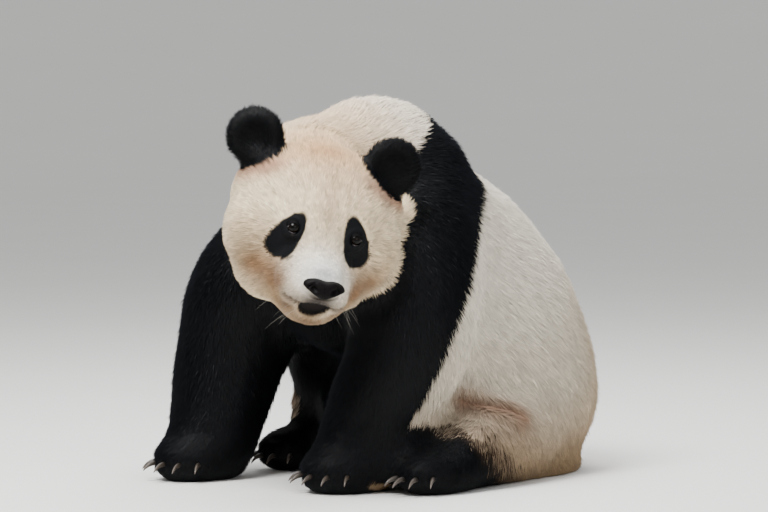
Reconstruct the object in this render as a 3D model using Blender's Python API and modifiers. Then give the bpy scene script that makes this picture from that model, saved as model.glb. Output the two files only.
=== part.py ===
"""Life-size giant panda, sitting on its haunches with its forelegs planted and its head turned to its left.

The body is modelled whole: named masses of muscle and fat are fused, smoothed and thinned to one
faceted surface, which then is parted by thin cuts into head, jaw, neck, trunk, tail, ears and legs.
The surface is that of the coat, out to the tips of the hair.

Metres, +Z up, the chest faces -Y and the animal's left side is at +X.
The masses are placed on a layout whose origin lies on the floor midway between the forepaws.
At the end everything is shifted so that the origin is the bottom centre of the whole.
"""

import math

import bmesh
import bpy
from mathutils import Euler, Matrix, Vector

# ---- the head, whose own frame has its origin inside the skull, the face towards -Y
HEAD_PLACE = Vector((0.147, -0.055, 0.490))
HEAD_YAW, HEAD_PITCH, HEAD_ROLL = 54.5, 9.0, 12.0  # degrees: to its left, nose down, left ear low
EYE_SPACING = 0.118
EYE_RADIUS = 0.0115
EYE_FORWARD, EYE_HEIGHT = 0.126, 0.003
NOSE_FORWARD, NOSE_HEIGHT = 0.218, -0.074
NOSE_SIZES = (0.038, 0.016, 0.017)
EAR_RADIUS = 0.057
EAR_THICKNESS = 0.024
EAR_BOX = ((-0.065, -0.036, -0.038), (0.065, 0.034, 0.100))  # along the disc and up from its middle
EAR_PLACES = {"left": Vector((0.120, 0.012, 0.130)), "right": Vector((-0.137, 0.026, 0.132))}
EAR_TURNS = {"left": 5.0, "right": -18.0}  # degrees: how far each dish faces outward

# ---- the body
HUMP_HEIGHT = 0.725
FOREPAWS = {"left": Vector((0.165, 0.034)), "right": Vector((-0.183, -0.013))}
TRUNK_MIDDLE = Vector((0.03, 0.43))
CLAW_LENGTH, CLAW_WIDTH, CLAW_HEIGHT = 0.036, 0.0050, 0.0065
CLAW_ROUNDNESS, CLAW_STEPS = 1, 2
FACETS = 16  # round an eye or the nose
TOES = 5

# ---- how it is made
CUT = 0.0005  # width of the thin cuts between parts
GAP = 0.0004  # room round an eye, the nose or a claw in its socket
BODY_VOXEL, HEAD_VOXEL, WHOLE_VOXEL, EAR_VOXEL = 0.011, 0.007, 0.0075, 0.004
BODY_PASSES, HEAD_PASSES, WHOLE_PASSES = 40, 22, 5
WHOLE_TRIANGLES = 3300
SHORTEST_EDGE = 0.0012
SIDES = {"left": 1.0, "right": -1.0}

HEAD_FRAME = (
    Matrix.Translation(HEAD_PLACE)
    @ Matrix.Rotation(math.radians(HEAD_YAW), 4, "Z")
    @ Matrix.Rotation(math.radians(HEAD_PITCH), 4, "X")
    @ Matrix.Rotation(math.radians(HEAD_ROLL), 4, "Y")
)


def clear_scene():
    for old in list(bpy.data.objects):
        bpy.data.objects.remove(old)


def group(name, hidden=False):
    made = bpy.data.collections.new(name)
    made.hide_render = hidden
    bpy.context.scene.collection.children.link(made)
    return made


def add_object(name, mesh, home):
    made = bpy.data.objects.new(name, mesh)
    home.objects.link(made)
    return made


def frame_of(centre, radii, turn=(0.0, 0.0, 0.0)):
    """Matrix that makes a unit ball an ellipsoid: turn is in degrees about X, Y and Z."""
    spin = Euler([math.radians(angle) for angle in turn]).to_matrix().to_4x4()
    return Matrix.Translation(centre) @ spin @ Matrix.Diagonal((*radii, 1.0))


def ball(centre, radii, turn=(0.0, 0.0, 0.0)):
    """An ellipsoidal mass of flesh."""
    return frame_of(Vector(centre), radii, turn)


def muscle(start, end, across, deep, past=0.35):
    """An ellipsoid laid from start to end, that reaches past both by a share of its width."""
    start, end = Vector(start), Vector(end)
    along = end - start
    half = along.length / 2 + past * (across + deep) / 2
    up = along.normalized()
    side = Vector((1.0, 0.0, 0.0))
    side = (side - up * side.dot(up)).normalized()
    front = up.cross(side)
    spin = Matrix((side, front, up)).transposed().to_4x4()
    return Matrix.Translation((start + end) / 2) @ spin @ Matrix.Diagonal((across, deep, half, 1.0))


def mesh_of(masses, frame=Matrix.Identity(4)):
    """One mesh with a sphere for each mass, all placed by frame."""
    form = bmesh.new()
    for mass in masses:
        bmesh.ops.create_uvsphere(form, u_segments=32, v_segments=20, radius=1.0, matrix=frame @ mass)
    mesh = bpy.data.meshes.new("masses")
    form.to_mesh(mesh)
    form.free()
    return mesh


def evaluated_mesh(thing):
    bpy.context.view_layer.update()
    graph = bpy.context.evaluated_depsgraph_get()
    return bpy.data.meshes.new_from_object(thing.evaluated_get(graph))


def curved_cone(stations, roundness, steps):
    """A closed limb of changing radius through stations of (place, radius), with flat ends."""
    curve = bpy.data.curves.new("limb", "CURVE")
    curve.dimensions = "3D"
    curve.bevel_depth = 1.0
    curve.bevel_resolution = roundness
    curve.use_fill_caps = True
    curve.resolution_u = steps
    spline = curve.splines.new("BEZIER")
    spline.bezier_points.add(len(stations) - 1)
    spline.radius_interpolation = "CARDINAL"
    for point, (place, radius) in zip(spline.bezier_points, stations):
        point.co = place
        point.radius = radius
        point.handle_left_type = point.handle_right_type = "AUTO"
    guide = add_object("limb", curve, bpy.context.scene.collection)
    mesh = evaluated_mesh(guide)
    bpy.data.objects.remove(guide)
    form = bmesh.new()
    form.from_mesh(mesh)
    bmesh.ops.remove_doubles(form, verts=form.verts, dist=0.0001)
    bmesh.ops.recalc_face_normals(form, faces=form.faces)
    form.to_mesh(mesh)
    form.free()
    return mesh


def tube(stations):
    """A round limb through stations of (place, radius), with a ball at each end."""
    mesh = curved_cone(stations, 6, 6)
    form = bmesh.new()
    form.from_mesh(mesh)
    for place, radius in (stations[0], stations[-1]):
        cap = ball(place, (radius * 0.99,) * 3)
        bmesh.ops.create_uvsphere(form, u_segments=32, v_segments=20, radius=1.0, matrix=cap)
    form.to_mesh(mesh)
    form.free()
    return mesh


def fuse(name, meshes, voxel, passes, home):
    """Joins overlapping meshes in one skin of voxel-sized faces, then relaxes it."""
    form = bmesh.new()
    for mesh in meshes:
        form.from_mesh(mesh)
    joined = bpy.data.meshes.new(name)
    form.to_mesh(joined)
    form.free()
    made = add_object(name, joined, home)
    remesh = made.modifiers.new("skin", "REMESH")
    remesh.mode = "VOXEL"
    remesh.voxel_size = voxel
    relax = made.modifiers.new("relax", "SMOOTH")
    relax.factor = 0.5
    relax.iterations = passes
    made.data = evaluated_mesh(made)
    made.modifiers.clear()
    return made


def in_head(x, y, z):
    """A place of the head's own frame, in the layout."""
    return HEAD_FRAME @ Vector((x, y, z))


# ---- the masses of the body, from the trunk outward
def trunk_tube():
    """Withers, ribs, belly and seat, along the spine."""
    x, y = TRUNK_MIDDLE
    return tube(
        [
            (Vector((0.010, y - 0.190, HUMP_HEIGHT - 0.165)), 0.160),
            (Vector((x * 0.5, y - 0.125, 0.455)), 0.200),
            (Vector((x * 0.8, y - 0.050, 0.350)), 0.238),
            (Vector((x, y - 0.002, 0.240)), 0.265),
            (Vector((x, y + 0.010, 0.125)), 0.277),
            (Vector((x, y + 0.010, 0.040)), 0.245),
        ]
    )


def neck_tube():
    """Leaves the back of the skull in line with the head and bends round to the withers."""
    return tube(
        [
            (in_head(0.0, 0.030, 0.022), 0.124),
            (in_head(-0.010, 0.120, 0.050), 0.118),
            (Vector((-0.012, TRUNK_MIDDLE.y - 0.250, HUMP_HEIGHT - 0.172)), 0.141),
            (Vector((0.010, TRUNK_MIDDLE.y - 0.190, HUMP_HEIGHT - 0.162)), 0.162),
        ]
    )


def breast_masses():
    throat = in_head(0.0, 0.06, -0.06)
    return [
        muscle(throat, (0.0, 0.17, 0.42), 0.12, 0.12, past=0.4),
        ball((0.0, 0.175, 0.40), (0.165, 0.14, 0.17)),
        ball((0.0, 0.17, 0.32), (0.11, 0.12, 0.09)),
    ]


def foreleg_tube(side):
    """Shoulder blade, shoulder, elbow, wrist and heel of the paw."""
    out = SIDES[side]
    paw = FOREPAWS[side]
    return tube(
        [
            (Vector((0.085 * out, 0.275, 0.570)), 0.105),
            (Vector((0.142 * out, 0.214, 0.455)), 0.127),
            (Vector((0.190 * out, paw.y + 0.125, 0.350)), 0.128),
            (Vector((0.205 * out, paw.y + 0.090, 0.250)), 0.116),
            (Vector((paw.x + 0.014 * out, paw.y + 0.045, 0.150)), 0.102),
            (Vector((paw.x, paw.y + 0.012, 0.070)), 0.090),
        ]
    )


def forepaw_masses(side):
    paw = FOREPAWS[side]
    return [ball((paw.x, paw.y - 0.030, 0.040), (0.084, 0.100, 0.058))]


def flank_masses(side):
    """The broad muscle behind the shoulder that ties the foreleg to the ribs, and the belly over the thigh."""
    out = SIDES[side]
    belly = 0.300 if side == "left" else 0.340
    return [
        ball((0.120 * out, 0.300, 0.430), (0.118, 0.155, 0.165)),
        ball((0.150 * out, 0.295, 0.320), (0.112, 0.140, 0.130)),
        ball((0.168 * out, belly, 0.225), (0.120, 0.135, 0.110)),
    ]


def hindleg_stations(side):
    """Hip, thigh, knee, shin and ankle. The left leg lies stretched forward, the right one is folded."""
    if side == "left":
        return [
            (Vector((0.175, 0.430, 0.105)), 0.118),
            (Vector((0.220, 0.350, 0.090)), 0.112),
            (Vector((0.255, 0.275, 0.080)), 0.095),
            (Vector((0.282, 0.210, 0.065)), 0.076),
            (Vector((0.297, 0.165, 0.050)), 0.062),
        ]
    return [
        (Vector((-0.125, 0.470, 0.110)), 0.118),
        (Vector((-0.180, 0.410, 0.115)), 0.110),
        (Vector((-0.215, 0.360, 0.120)), 0.090),
        (Vector((-0.200, 0.310, 0.075)), 0.074),
        (Vector((-0.185, 0.280, 0.050)), 0.062),
    ]


def hind_sole(side):
    """The middle of a hind foot, ahead of its ankle."""
    ankle = hindleg_stations(side)[-1][0]
    return Vector((ankle.x + 0.006 * SIDES[side], ankle.y - 0.058))


def hindfoot_masses(side):
    sole = hind_sole(side)
    return [ball((sole.x, sole.y, 0.038), (0.064, 0.104, 0.052))]


def tail_masses():
    x, y = TRUNK_MIDDLE
    return [muscle((x, y + 0.262, 0.20), (x, y + 0.312, 0.09), 0.050, 0.040, past=0.4)]


def head_masses():
    """In the head's own frame: x is across, -y forward and z up."""
    masses = [
        ball((0.0, 0.040, 0.024), (0.154, 0.135, 0.126)),  # brain case
        ball((0.0, -0.016, -0.010), (0.157, 0.119, 0.128)),  # face
        ball((0.0, -0.004, 0.040), (0.132, 0.100, 0.096)),  # forehead
        ball((0.0, -0.083, -0.019), (0.073, 0.073, 0.059), (34, 0, 0)),  # bridge of the nose
        ball((0.0, -0.075, -0.078), (0.104, 0.102, 0.074)),  # base of the muzzle
        ball((0.0, -0.116, -0.076), (0.082, 0.100, 0.064)),  # middle of the muzzle
        ball((0.0, -0.156, -0.079), (0.068, 0.072, 0.055)),  # end of the muzzle
        ball((0.0, -0.112, -0.114), (0.066, 0.084, 0.050)),  # chin
    ]
    for side, out in SIDES.items():
        jowl, cheek, temple = (0.048, 0.089, 0.108) if side == "left" else (0.066, 0.098, 0.104)
        masses += [
            ball((temple * out, 0.020, 0.034), (0.060, 0.078, 0.064)),
            ball((jowl * out, -0.030, -0.085), (0.074, 0.086, 0.066)),
            ball((cheek * out, -0.032, -0.019), (0.075, 0.086, 0.088)),
            ball((0.030 * out, -0.180, -0.088), (0.040, 0.046, 0.038)),  # upper lip
        ]
    return masses


def ear_frame(side):
    """Frame of one ear: its disc lies across, the dish towards -y, and leans a little outward."""
    out = SIDES[side]
    turn = Euler([math.radians(angle) for angle in (-8.0, 14.0 * out, EAR_TURNS[side])]).to_matrix().to_4x4()
    return HEAD_FRAME @ Matrix.Translation(EAR_PLACES[side]) @ turn


def ear_solid(side, home):
    """A round disc with a stout root, hollowed by a shallow dish in front."""
    shell = mesh_of([ball((0.0, 0.0, 0.0), (EAR_RADIUS, EAR_THICKNESS, EAR_RADIUS))], ear_frame(side))
    root = mesh_of([ball((-0.022 * SIDES[side], 0.0, -0.030), (0.034, 0.024, 0.036))], ear_frame(side))
    ear = fuse(f"ear_form_{side}", [shell, root], EAR_VOXEL, 6, home)
    dish = mesh_of([ball((0.0, -0.052, -0.006), (0.056, 0.044, 0.052))], ear_frame(side))
    return combine(ear, dish, "DIFFERENCE", home)


# ---- cutting and parting
def combine(thing, other, operation, home):
    """Boolean of thing with the mesh other; the thing keeps the result."""
    partner = add_object("partner", other, home)
    step = thing.modifiers.new("step", "BOOLEAN")
    step.operation = operation
    step.object = partner
    mesh = evaluated_mesh(thing)
    thing.modifiers.clear()
    thing.data = mesh
    bpy.data.objects.remove(partner)
    return thing


def thin_out(thing, triangles):
    """Collapses edges until about so many triangles are left, and those too short to matter."""
    step = thing.modifiers.new("thin", "DECIMATE")
    step.ratio = triangles / sum(len(face.vertices) - 2 for face in thing.data.polygons)
    mesh = evaluated_mesh(thing)
    thing.modifiers.clear()
    form = bmesh.new()
    form.from_mesh(mesh)
    bmesh.ops.dissolve_degenerate(form, dist=SHORTEST_EDGE, edges=form.edges)
    bmesh.ops.triangulate(form, faces=form.faces)
    form.to_mesh(mesh)
    form.free()
    thing.data = mesh


def keep_largest(thing):
    """Drops the crumbs that a cut can leave beside a part."""
    form = bmesh.new()
    form.from_mesh(thing.data)
    left = set(form.verts)
    islands = []
    while left:
        island = set()
        front = {left.pop()}
        while front:
            island |= front
            front = {edge.other_vert(point) for point in front for edge in point.link_edges} - island
        left -= island
        islands.append(island)
    islands.sort(key=len)
    for island in islands[:-1]:
        bmesh.ops.delete(form, geom=list(island), context="VERTS")
    form.to_mesh(thing.data)
    form.free()


def box(low, high, frame=Matrix.Identity(4)):
    """A box between two corners of a frame."""
    low, high = Vector(low), Vector(high)
    form = bmesh.new()
    spread = Matrix.Diagonal((*(high - low), 1.0))
    bmesh.ops.create_cube(form, size=1.0, matrix=frame @ Matrix.Translation((low + high) / 2) @ spread)
    mesh = bpy.data.meshes.new("box")
    form.to_mesh(mesh)
    form.free()
    return mesh


def part_off(rest, name, low, high, home, frame=Matrix.Identity(4)):
    """Parts what lies in a box from the rest by a thin cut; gives the part, and the rest keeps the rest."""
    piece = add_object(name, rest.data.copy(), home)
    combine(piece, box(low, high, frame), "INTERSECT", home)
    grow = Vector((CUT, CUT, CUT))
    combine(rest, box(Vector(low) - grow, Vector(high) + grow, frame), "DIFFERENCE", home)
    return piece


def whole_panda(home):
    """The whole body as one thinned, closed surface with level soles and seat."""
    forms = [trunk_tube(), neck_tube()]
    masses = breast_masses() + tail_masses()
    for side in SIDES:
        forms += [foreleg_tube(side), tube(hindleg_stations(side))]
        masses += forepaw_masses(side) + flank_masses(side) + hindfoot_masses(side)
    body_skin = fuse("body_skin", [*forms, mesh_of(masses)], BODY_VOXEL, BODY_PASSES, home)
    head_skin = fuse("head_skin", [mesh_of(head_masses(), HEAD_FRAME)], HEAD_VOXEL, HEAD_PASSES, home)
    whole = fuse("whole", [body_skin.data, head_skin.data], WHOLE_VOXEL, WHOLE_PASSES, home)
    for side in SIDES:
        ear = ear_solid(side, home)
        combine(whole, ear.data, "UNION", home)
        bpy.data.objects.remove(ear)
    thin_out(whole, WHOLE_TRIANGLES)
    combine(whole, box((-2.0, -2.0, -1.0), (2.0, 2.0, 0.0)), "DIFFERENCE", home)
    bpy.data.objects.remove(body_skin)
    bpy.data.objects.remove(head_skin)
    return whole


# ---- eyes, nose and claws
def rounded(name, sizes, segments, frame, shape=None):
    """A ball of few facets with the given half sizes; shape may move its points before it is placed."""
    form = bmesh.new()
    bmesh.ops.create_uvsphere(form, u_segments=segments, v_segments=segments * 5 // 8, radius=1.0)
    for point in form.verts:
        point.co = Vector(point.co[i] * sizes[i] for i in range(3))
        if shape:
            point.co = shape(point.co)
    bmesh.ops.transform(form, matrix=frame, verts=form.verts)
    bmesh.ops.triangulate(form, faces=form.faces)
    mesh = bpy.data.meshes.new(name)
    form.to_mesh(mesh)
    form.free()
    return mesh


def claw_mesh(frame, grow=0.0):
    """A curved, blunt cone of horn that points forward and down; grow makes the socket it sits in."""
    stations = []
    for along in (0.0, 0.5, 1.0):
        bend = along * math.radians(55.0)
        place = Vector((0.0, -CLAW_LENGTH * math.sin(bend), -CLAW_LENGTH * (1.0 - math.cos(bend))))
        stations.append((place, CLAW_HEIGHT * (1.0 - 0.78 * along**1.6) + grow))
    stations[0][0].y += grow
    mesh = curved_cone(stations, CLAW_ROUNDNESS, CLAW_STEPS)
    mesh.transform(frame @ Matrix.Diagonal((CLAW_WIDTH / CLAW_HEIGHT, 1.0, 1.0, 1.0)))
    return mesh


def set_claws(paw_part, name, middle, reach, height, home):
    """Five claws round the front of a paw, each in its own socket."""
    claws = []
    for toe in range(TOES):
        turn = math.radians((toe - (TOES - 1) / 2) * 27.0)
        place = (middle.x + reach[0] * math.sin(turn), middle.y - reach[1] * math.cos(turn), height)
        frame = Matrix.Translation(place) @ Matrix.Rotation(turn * 0.6, 4, "Z")
        combine(paw_part, claw_mesh(frame, GAP), "DIFFERENCE", home)
        claws.append(add_object(f"claw_{name}_{toe + 1}", claw_mesh(frame), home))
    return claws


def set_eye(head, side, home):
    """An eyeball in an open socket."""
    place = (EYE_SPACING / 2 * SIDES[side], -EYE_FORWARD, EYE_HEIGHT)
    frame = HEAD_FRAME @ Matrix.Translation(place)
    combine(head, rounded("socket", (EYE_RADIUS + GAP,) * 3, FACETS, frame), "DIFFERENCE", home)
    return add_object(f"eye_{side}", rounded(f"eye_{side}", (EYE_RADIUS,) * 3, FACETS, frame), home)


def nose_shape(point):
    """Narrows the pad downward and dips the middle of its upper edge."""
    low = max(0.0, -point.z / NOSE_SIZES[2])
    dip = 0.0035 * math.exp(-((point.x / 0.009) ** 2)) if point.z > 0 else 0.0
    return Vector((point.x * (1.0 - 0.38 * low), point.y, point.z - dip))


def set_nose(head, home):
    """The bare nose pad, sunk into the end of the muzzle."""
    frame = HEAD_FRAME @ Matrix.Translation((0.0, -NOSE_FORWARD, NOSE_HEIGHT))
    socket = rounded("socket", [size + GAP for size in NOSE_SIZES], FACETS, frame, nose_shape)
    combine(head, socket, "DIFFERENCE", home)
    return add_object("nose", rounded("nose", NOSE_SIZES, FACETS, frame, nose_shape), home)


def ear_cut_frame(side):
    """Upward from the root of the ear along its disc."""
    return ear_frame(side) @ Matrix.Rotation(math.radians(36.0) * SIDES[side], 4, "Y")


def beside(side, inner, outer, rear, front, low, high):
    """Corners of a box on one side of the body; front is the smaller y."""
    out = SIDES[side]
    left, right = sorted((inner * out, outer * out))
    return (left, front, low), (right, rear, high)


def part_legs(rest, side, home):
    """Parts off both legs of one side, from the paw upward."""
    fore, hind = f"foreleg_{side}", f"hindleg_{side}"
    if side == "left":
        cuts = [
            (f"{fore}_paw", (0.050, 0.238, 0.150, -0.30, -0.10, 0.130)),
            (f"{hind}_foot", (0.200, 0.450, 0.175, -0.20, -0.10, 0.130)),
            (f"{fore}_forearm", (0.050, 0.450, 0.205, -0.30, 0.105, 0.290)),
            (f"{fore}_upper", (0.112, 0.450, 0.300, -0.30, 0.285, 0.520)),
            (f"{hind}_thigh", (0.195, 0.450, 0.440, 0.170, -0.10, 0.160)),
        ]
    else:
        cuts = [
            (f"{fore}_paw", (0.050, 0.450, 0.098, -0.30, -0.10, 0.130)),
            (f"{hind}_foot", (0.100, 0.450, 0.270, 0.095, -0.10, 0.105)),
            (f"{fore}_forearm", (0.050, 0.450, 0.205, -0.30, 0.105, 0.290)),
            (f"{fore}_upper", (0.112, 0.450, 0.300, -0.30, 0.285, 0.520)),
            (f"{hind}_thigh", (0.150, 0.450, 0.480, 0.260, -0.10, 0.185)),
        ]
    legs = {}
    for name, edges in cuts:
        legs[name] = part_off(rest, name, *beside(side, *edges), home)
    return legs


def panda(home):
    """All the parts, still on the layout."""
    rest = whole_panda(home)
    parts = {}
    for side in SIDES:
        ear = part_off(rest, f"ear_{side}", EAR_BOX[0], EAR_BOX[1], home, ear_cut_frame(side))
        parts[ear.name] = ear
    head = part_off(rest, "head", (-0.260, -0.330, -0.185), (0.182, 0.090, 0.270), home, HEAD_FRAME)
    mouth = HEAD_FRAME @ Matrix.Translation((0.0, -0.085, -0.117)) @ Matrix.Rotation(math.radians(4.0), 4, "X")
    jaw = part_off(head, "jaw", (-0.088, -0.20, -0.14), (0.088, 0.0, 0.0), home, mouth)
    nape = Matrix.Translation((0.02, 0.10, 0.53)) @ Matrix.Rotation(math.radians(17.0), 4, "Z")
    neck = part_off(rest, "neck", (-0.175, -0.20, -0.150), (0.105, 0.085, 0.220), home, nape)
    parts.update({"head": head, "jaw": jaw, "neck": neck})
    for side in SIDES:
        parts.update(part_legs(rest, side, home))
    x, y = TRUNK_MIDDLE
    parts["tail"] = part_off(rest, "tail", (x - 0.075, y + 0.275, 0.030), (x + 0.075, y + 0.45, 0.270), home)
    rest.name = "trunk"
    parts["trunk"] = rest
    for side in SIDES:
        parts[f"eye_{side}"] = set_eye(head, side, home)
    parts["nose"] = set_nose(head, home)
    for side in SIDES:
        paw = FOREPAWS[side]
        middle = Vector((paw.x, paw.y - 0.030))
        horn = set_claws(parts[f"foreleg_{side}_paw"], f"fore_{side}", middle, (0.070, 0.079), 0.034, home)
        sole = hind_sole(side)
        horn += set_claws(parts[f"hindleg_{side}_foot"], f"hind_{side}", sole, (0.050, 0.088), 0.032, home)
        parts.update({thing.name: thing for thing in horn})
    return parts


def paint(thing, name, colour, roughness):
    """Gives a part one plain material, made the first time it is asked for."""
    coat = bpy.data.materials.get(name)
    if coat is None:
        coat = bpy.data.materials.new(name)
        coat.use_nodes = True
        surface = coat.node_tree.nodes["Principled BSDF"]
        surface.inputs["Base Color"].default_value = (*colour, 1.0)
        surface.inputs["Roughness"].default_value = roughness
    thing.data.materials.clear()
    thing.data.materials.append(coat)


def colour_of(name):
    """Material of a part by its name."""
    if name.startswith("eye"):
        return "eye", (0.010, 0.007, 0.005), 0.10
    if name == "nose":
        return "nose", (0.012, 0.011, 0.012), 0.45
    if name.startswith("claw"):
        return "claw", (0.050, 0.042, 0.036), 0.45
    if name.startswith(("ear", "foreleg", "hindleg")):
        return "coat_black", (0.010, 0.010, 0.012), 0.90
    return "coat_white", (0.560, 0.500, 0.430), 0.90


def to_bottom_centre(things):
    """Moves all points so that the origin is the middle of the footprint, on the floor."""
    places = [point.co for thing in things for point in thing.data.vertices]
    low = [min(place[i] for place in places) for i in range(3)]
    high = [max(place[i] for place in places) for i in range(3)]
    shift = Vector((-(low[0] + high[0]) / 2, -(low[1] + high[1]) / 2, -low[2]))
    for thing in things:
        thing.data.transform(Matrix.Translation(shift))
    return shift


def main():
    clear_scene()
    home = group("giant_panda")
    parts = panda(home)
    for name, thing in parts.items():
        keep_largest(thing)
        thing.name = name
        thing.data.name = name
        paint(thing, *colour_of(name))
    to_bottom_centre(list(parts.values()))


main()
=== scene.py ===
"""A giant panda at life size: skin, coat, eyes, nose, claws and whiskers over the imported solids.

One skin replaces the nodes of flesh and lies inside them by the depth of the coat. The coat is solid
tufts rooted on that skin. Both take their markings from the same function of place. Metres, +Z up.
"""

import math
from contextlib import contextmanager

import bmesh
import bpy
import numpy as np
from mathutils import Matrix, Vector
from mathutils.bvhtree import BVHTree
from mathutils.kdtree import KDTree


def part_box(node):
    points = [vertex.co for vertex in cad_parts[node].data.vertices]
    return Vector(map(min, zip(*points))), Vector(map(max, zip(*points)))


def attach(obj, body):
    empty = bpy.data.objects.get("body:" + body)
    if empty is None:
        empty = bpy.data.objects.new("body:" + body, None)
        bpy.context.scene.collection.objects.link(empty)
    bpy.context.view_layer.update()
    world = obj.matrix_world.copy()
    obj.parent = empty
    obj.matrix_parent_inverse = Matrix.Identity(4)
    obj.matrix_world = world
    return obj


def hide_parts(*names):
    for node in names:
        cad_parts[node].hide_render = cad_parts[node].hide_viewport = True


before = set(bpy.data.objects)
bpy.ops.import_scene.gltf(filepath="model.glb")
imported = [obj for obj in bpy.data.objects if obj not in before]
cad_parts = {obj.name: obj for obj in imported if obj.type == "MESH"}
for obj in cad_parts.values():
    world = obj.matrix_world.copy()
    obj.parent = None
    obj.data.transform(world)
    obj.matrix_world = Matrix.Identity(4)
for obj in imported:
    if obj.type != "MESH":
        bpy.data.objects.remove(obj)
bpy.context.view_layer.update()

bl_info = {
    "name": "Giant panda coat and finish",
    "version": (1, 0, 0),
    "blender": (4, 5, 0),
    "location": "3D View > Sidebar > Panda",
    "description": "Dresses the solids of a giant panda in skin, coat, eyes, nose, claws and whiskers",
    "category": "Object",
}

MM = 0.001
SIDES = {"left": 1.0, "right": -1.0}
BAKE_MAP = "OFBake"
MARKINGS = "markings"  # the colour attribute of skin and coat
UP = np.array((0.0, 0.0, 1.0))
MOST_TRIANGLES = 196_000  # in one piece of coat
FEWEST_TUFTS = 60  # in one piece of coat; fewer aren't worth a piece
TUFTS_TO_A_LOCK = 9
LOCK_REACH = 0.03  # a tuft further from its lock's leader stands alone
SKIN_SHADE_UNDER_COAT = 0.84  # painted shade: the skin under the coat is this much darker than the coat's own colour
PAW_COAT = 0.006  # depth of the coat on the feet
EAR_COAT = 0.0045
EAR_STAND = 0.0085  # how far the ears' tufts stand off
EAR_LIFT = 62.0  # degrees off the skin
THINNEST_COAT = 0.0018
LONGEST_TUFT = 0.045
ROOT_DEPTH = 0.0010  # how far a tuft starts below the skin
OFF_FLOOR = 0.0008  # how close a tuft comes to the floor
BAKE_PATCH = 0.003  # side of a tuft's patch on the bake's map


# ---- places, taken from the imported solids
def middle(node):
    """Middle of a node's box."""
    low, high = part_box(node)
    return np.array((low + high) / 2)


def unit(vectors):
    """Each vector divided by its own length."""
    return vectors / np.maximum(np.linalg.norm(vectors, axis=-1, keepdims=True), 1e-9)


def head_place():
    """Origin and axes of the head: its rows point to the head's left, back and up.

    The eyes lie on the first axis, and the line from between them to the nose falls by BRIDGE_SLOPE.
    """
    left, right, nose = middle("eye_left"), middle("eye_right"), middle("nose")
    across = unit(left - right)
    bridge = nose - (left + right) / 2
    bridge = unit(bridge - across * (bridge @ across))
    above = np.cross(bridge, across)
    forward = math.cos(BRIDGE_SLOPE) * bridge + math.sin(BRIDGE_SLOPE) * above
    back = -forward
    up = np.cross(across, back)
    origin = (left + right) / 2 + EYE_FORWARD * back - EYE_HEIGHT * up
    return origin, np.stack([across, back, up])


BRIDGE_SLOPE = math.radians(39.93)
EYE_FORWARD = 0.126
EYE_HEIGHT = 0.003
EYE_OUT = 0.059
EYE_SINK = 0.0085  # how much deeper an eyeball lies than its solid
EYE_PLACE = np.array((EYE_OUT - 0.0020, EYE_SINK - EYE_FORWARD, EYE_HEIGHT + 0.0045))
HEAD_ORIGIN, HEAD_AXES = head_place()
# on the head's own axes
EAR_PLACES = {"left": np.array((0.120, 0.012, 0.130)), "right": np.array((-0.137, 0.026, 0.132))}
NOSE_PLACE = np.array((0.0, -0.218, -0.074))
BODY_ORIGIN = HEAD_ORIGIN - (0.1256, -0.3227, 0.490)  # the trunk's middle on the floor


def to_head(points):
    """World points on the head's own axes."""
    return (points - HEAD_ORIGIN) @ HEAD_AXES.T


def from_head(points):
    """Points on the head's own axes, back in the world."""
    return HEAD_ORIGIN + np.asarray(points) @ HEAD_AXES


def to_body(points):
    """World points seen from the trunk's middle on the floor."""
    return points - BODY_ORIGIN


def from_ear(local):
    """Head points seen from the middle of the ear on their own side."""
    return local - np.where(local[:, :1] > 0.0, EAR_PLACES["left"], EAR_PLACES["right"])


def smooth_step(value, low, high):
    """0 below low, 1 above high, and an even S curve between."""
    share = np.clip((value - low) / (high - low), 0.0, 1.0)
    return share * share * (3.0 - 2.0 * share)


def fading(value, low, high):
    """1 below low, 0 above high, and an even S curve between."""
    return 1.0 - smooth_step(value, low, high)


def bell(value, reach):
    """1 at zero, falling off on both sides as a bell over reach."""
    return np.exp(-((value / reach) ** 2))


def linear(code, alpha=True):
    """An sRGB hex colour turned to linear light."""
    parts = [int(code[i : i + 2], 16) / 255 for i in (1, 3, 5)]
    light = [part / 12.92 if part <= 0.04045 else ((part + 0.055) / 1.055) ** 2.4 for part in parts]
    return (*light, 1.0) if alpha else tuple(light)


def tone(colour):
    """A colour, from a hex code or a setting, as an array of linear red, green and blue."""
    return np.array(linear(colour, False) if isinstance(colour, str) else colour)


# ---- what a user may change
def length_setting(name, description, default):
    """A length in metres that a user may change."""
    return bpy.props.FloatProperty(name=name, description=description, default=default, unit="LENGTH")


def number_setting(name, description, default):
    """A plain number that a user may change."""
    return bpy.props.FloatProperty(name=name, description=description, default=default)


def colour_setting(name, description, code):
    """A colour that a user may change."""
    default = linear(code, False)
    return bpy.props.FloatVectorProperty(
        name=name, description=description, size=3, subtype="COLOR", default=default
    )


class PandaSizes(bpy.types.PropertyGroup):
    """Sizes of the skin, the coat and the small parts."""

    skin_grain: length_setting("Skin grain", "Edge of the skin's faces", 0.0067)
    body_depth: length_setting("Body coat", "Depth of the coat on the trunk", 0.0105)
    leg_depth: length_setting("Leg coat", "Depth of the coat on the legs", 0.0095)
    cheek_depth: length_setting("Cheek coat", "Depth of the coat on the cheeks", 0.0105)
    face_depth: length_setting("Face coat", "Depth of the coat on muzzle and brow", 0.0034)
    tuft_width: length_setting("Tuft width", "Width of a body tuft at its root", 0.0022)
    body_tufts: number_setting("Body tufts", "Fine tufts for each square metre of the body", 150_000.0)
    loose_tufts: number_setting("Loose tufts", "Long loose tufts for each square metre of the body", 6_000.0)
    eye_radius: length_setting("Eye radius", "Radius of an eyeball", 0.0118)
    whisker_length: length_setting("Whisker length", "Longest whisker", 0.060)
    seed: bpy.props.IntProperty(name="Seed", description="Start of the random draws", default=11)


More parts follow.
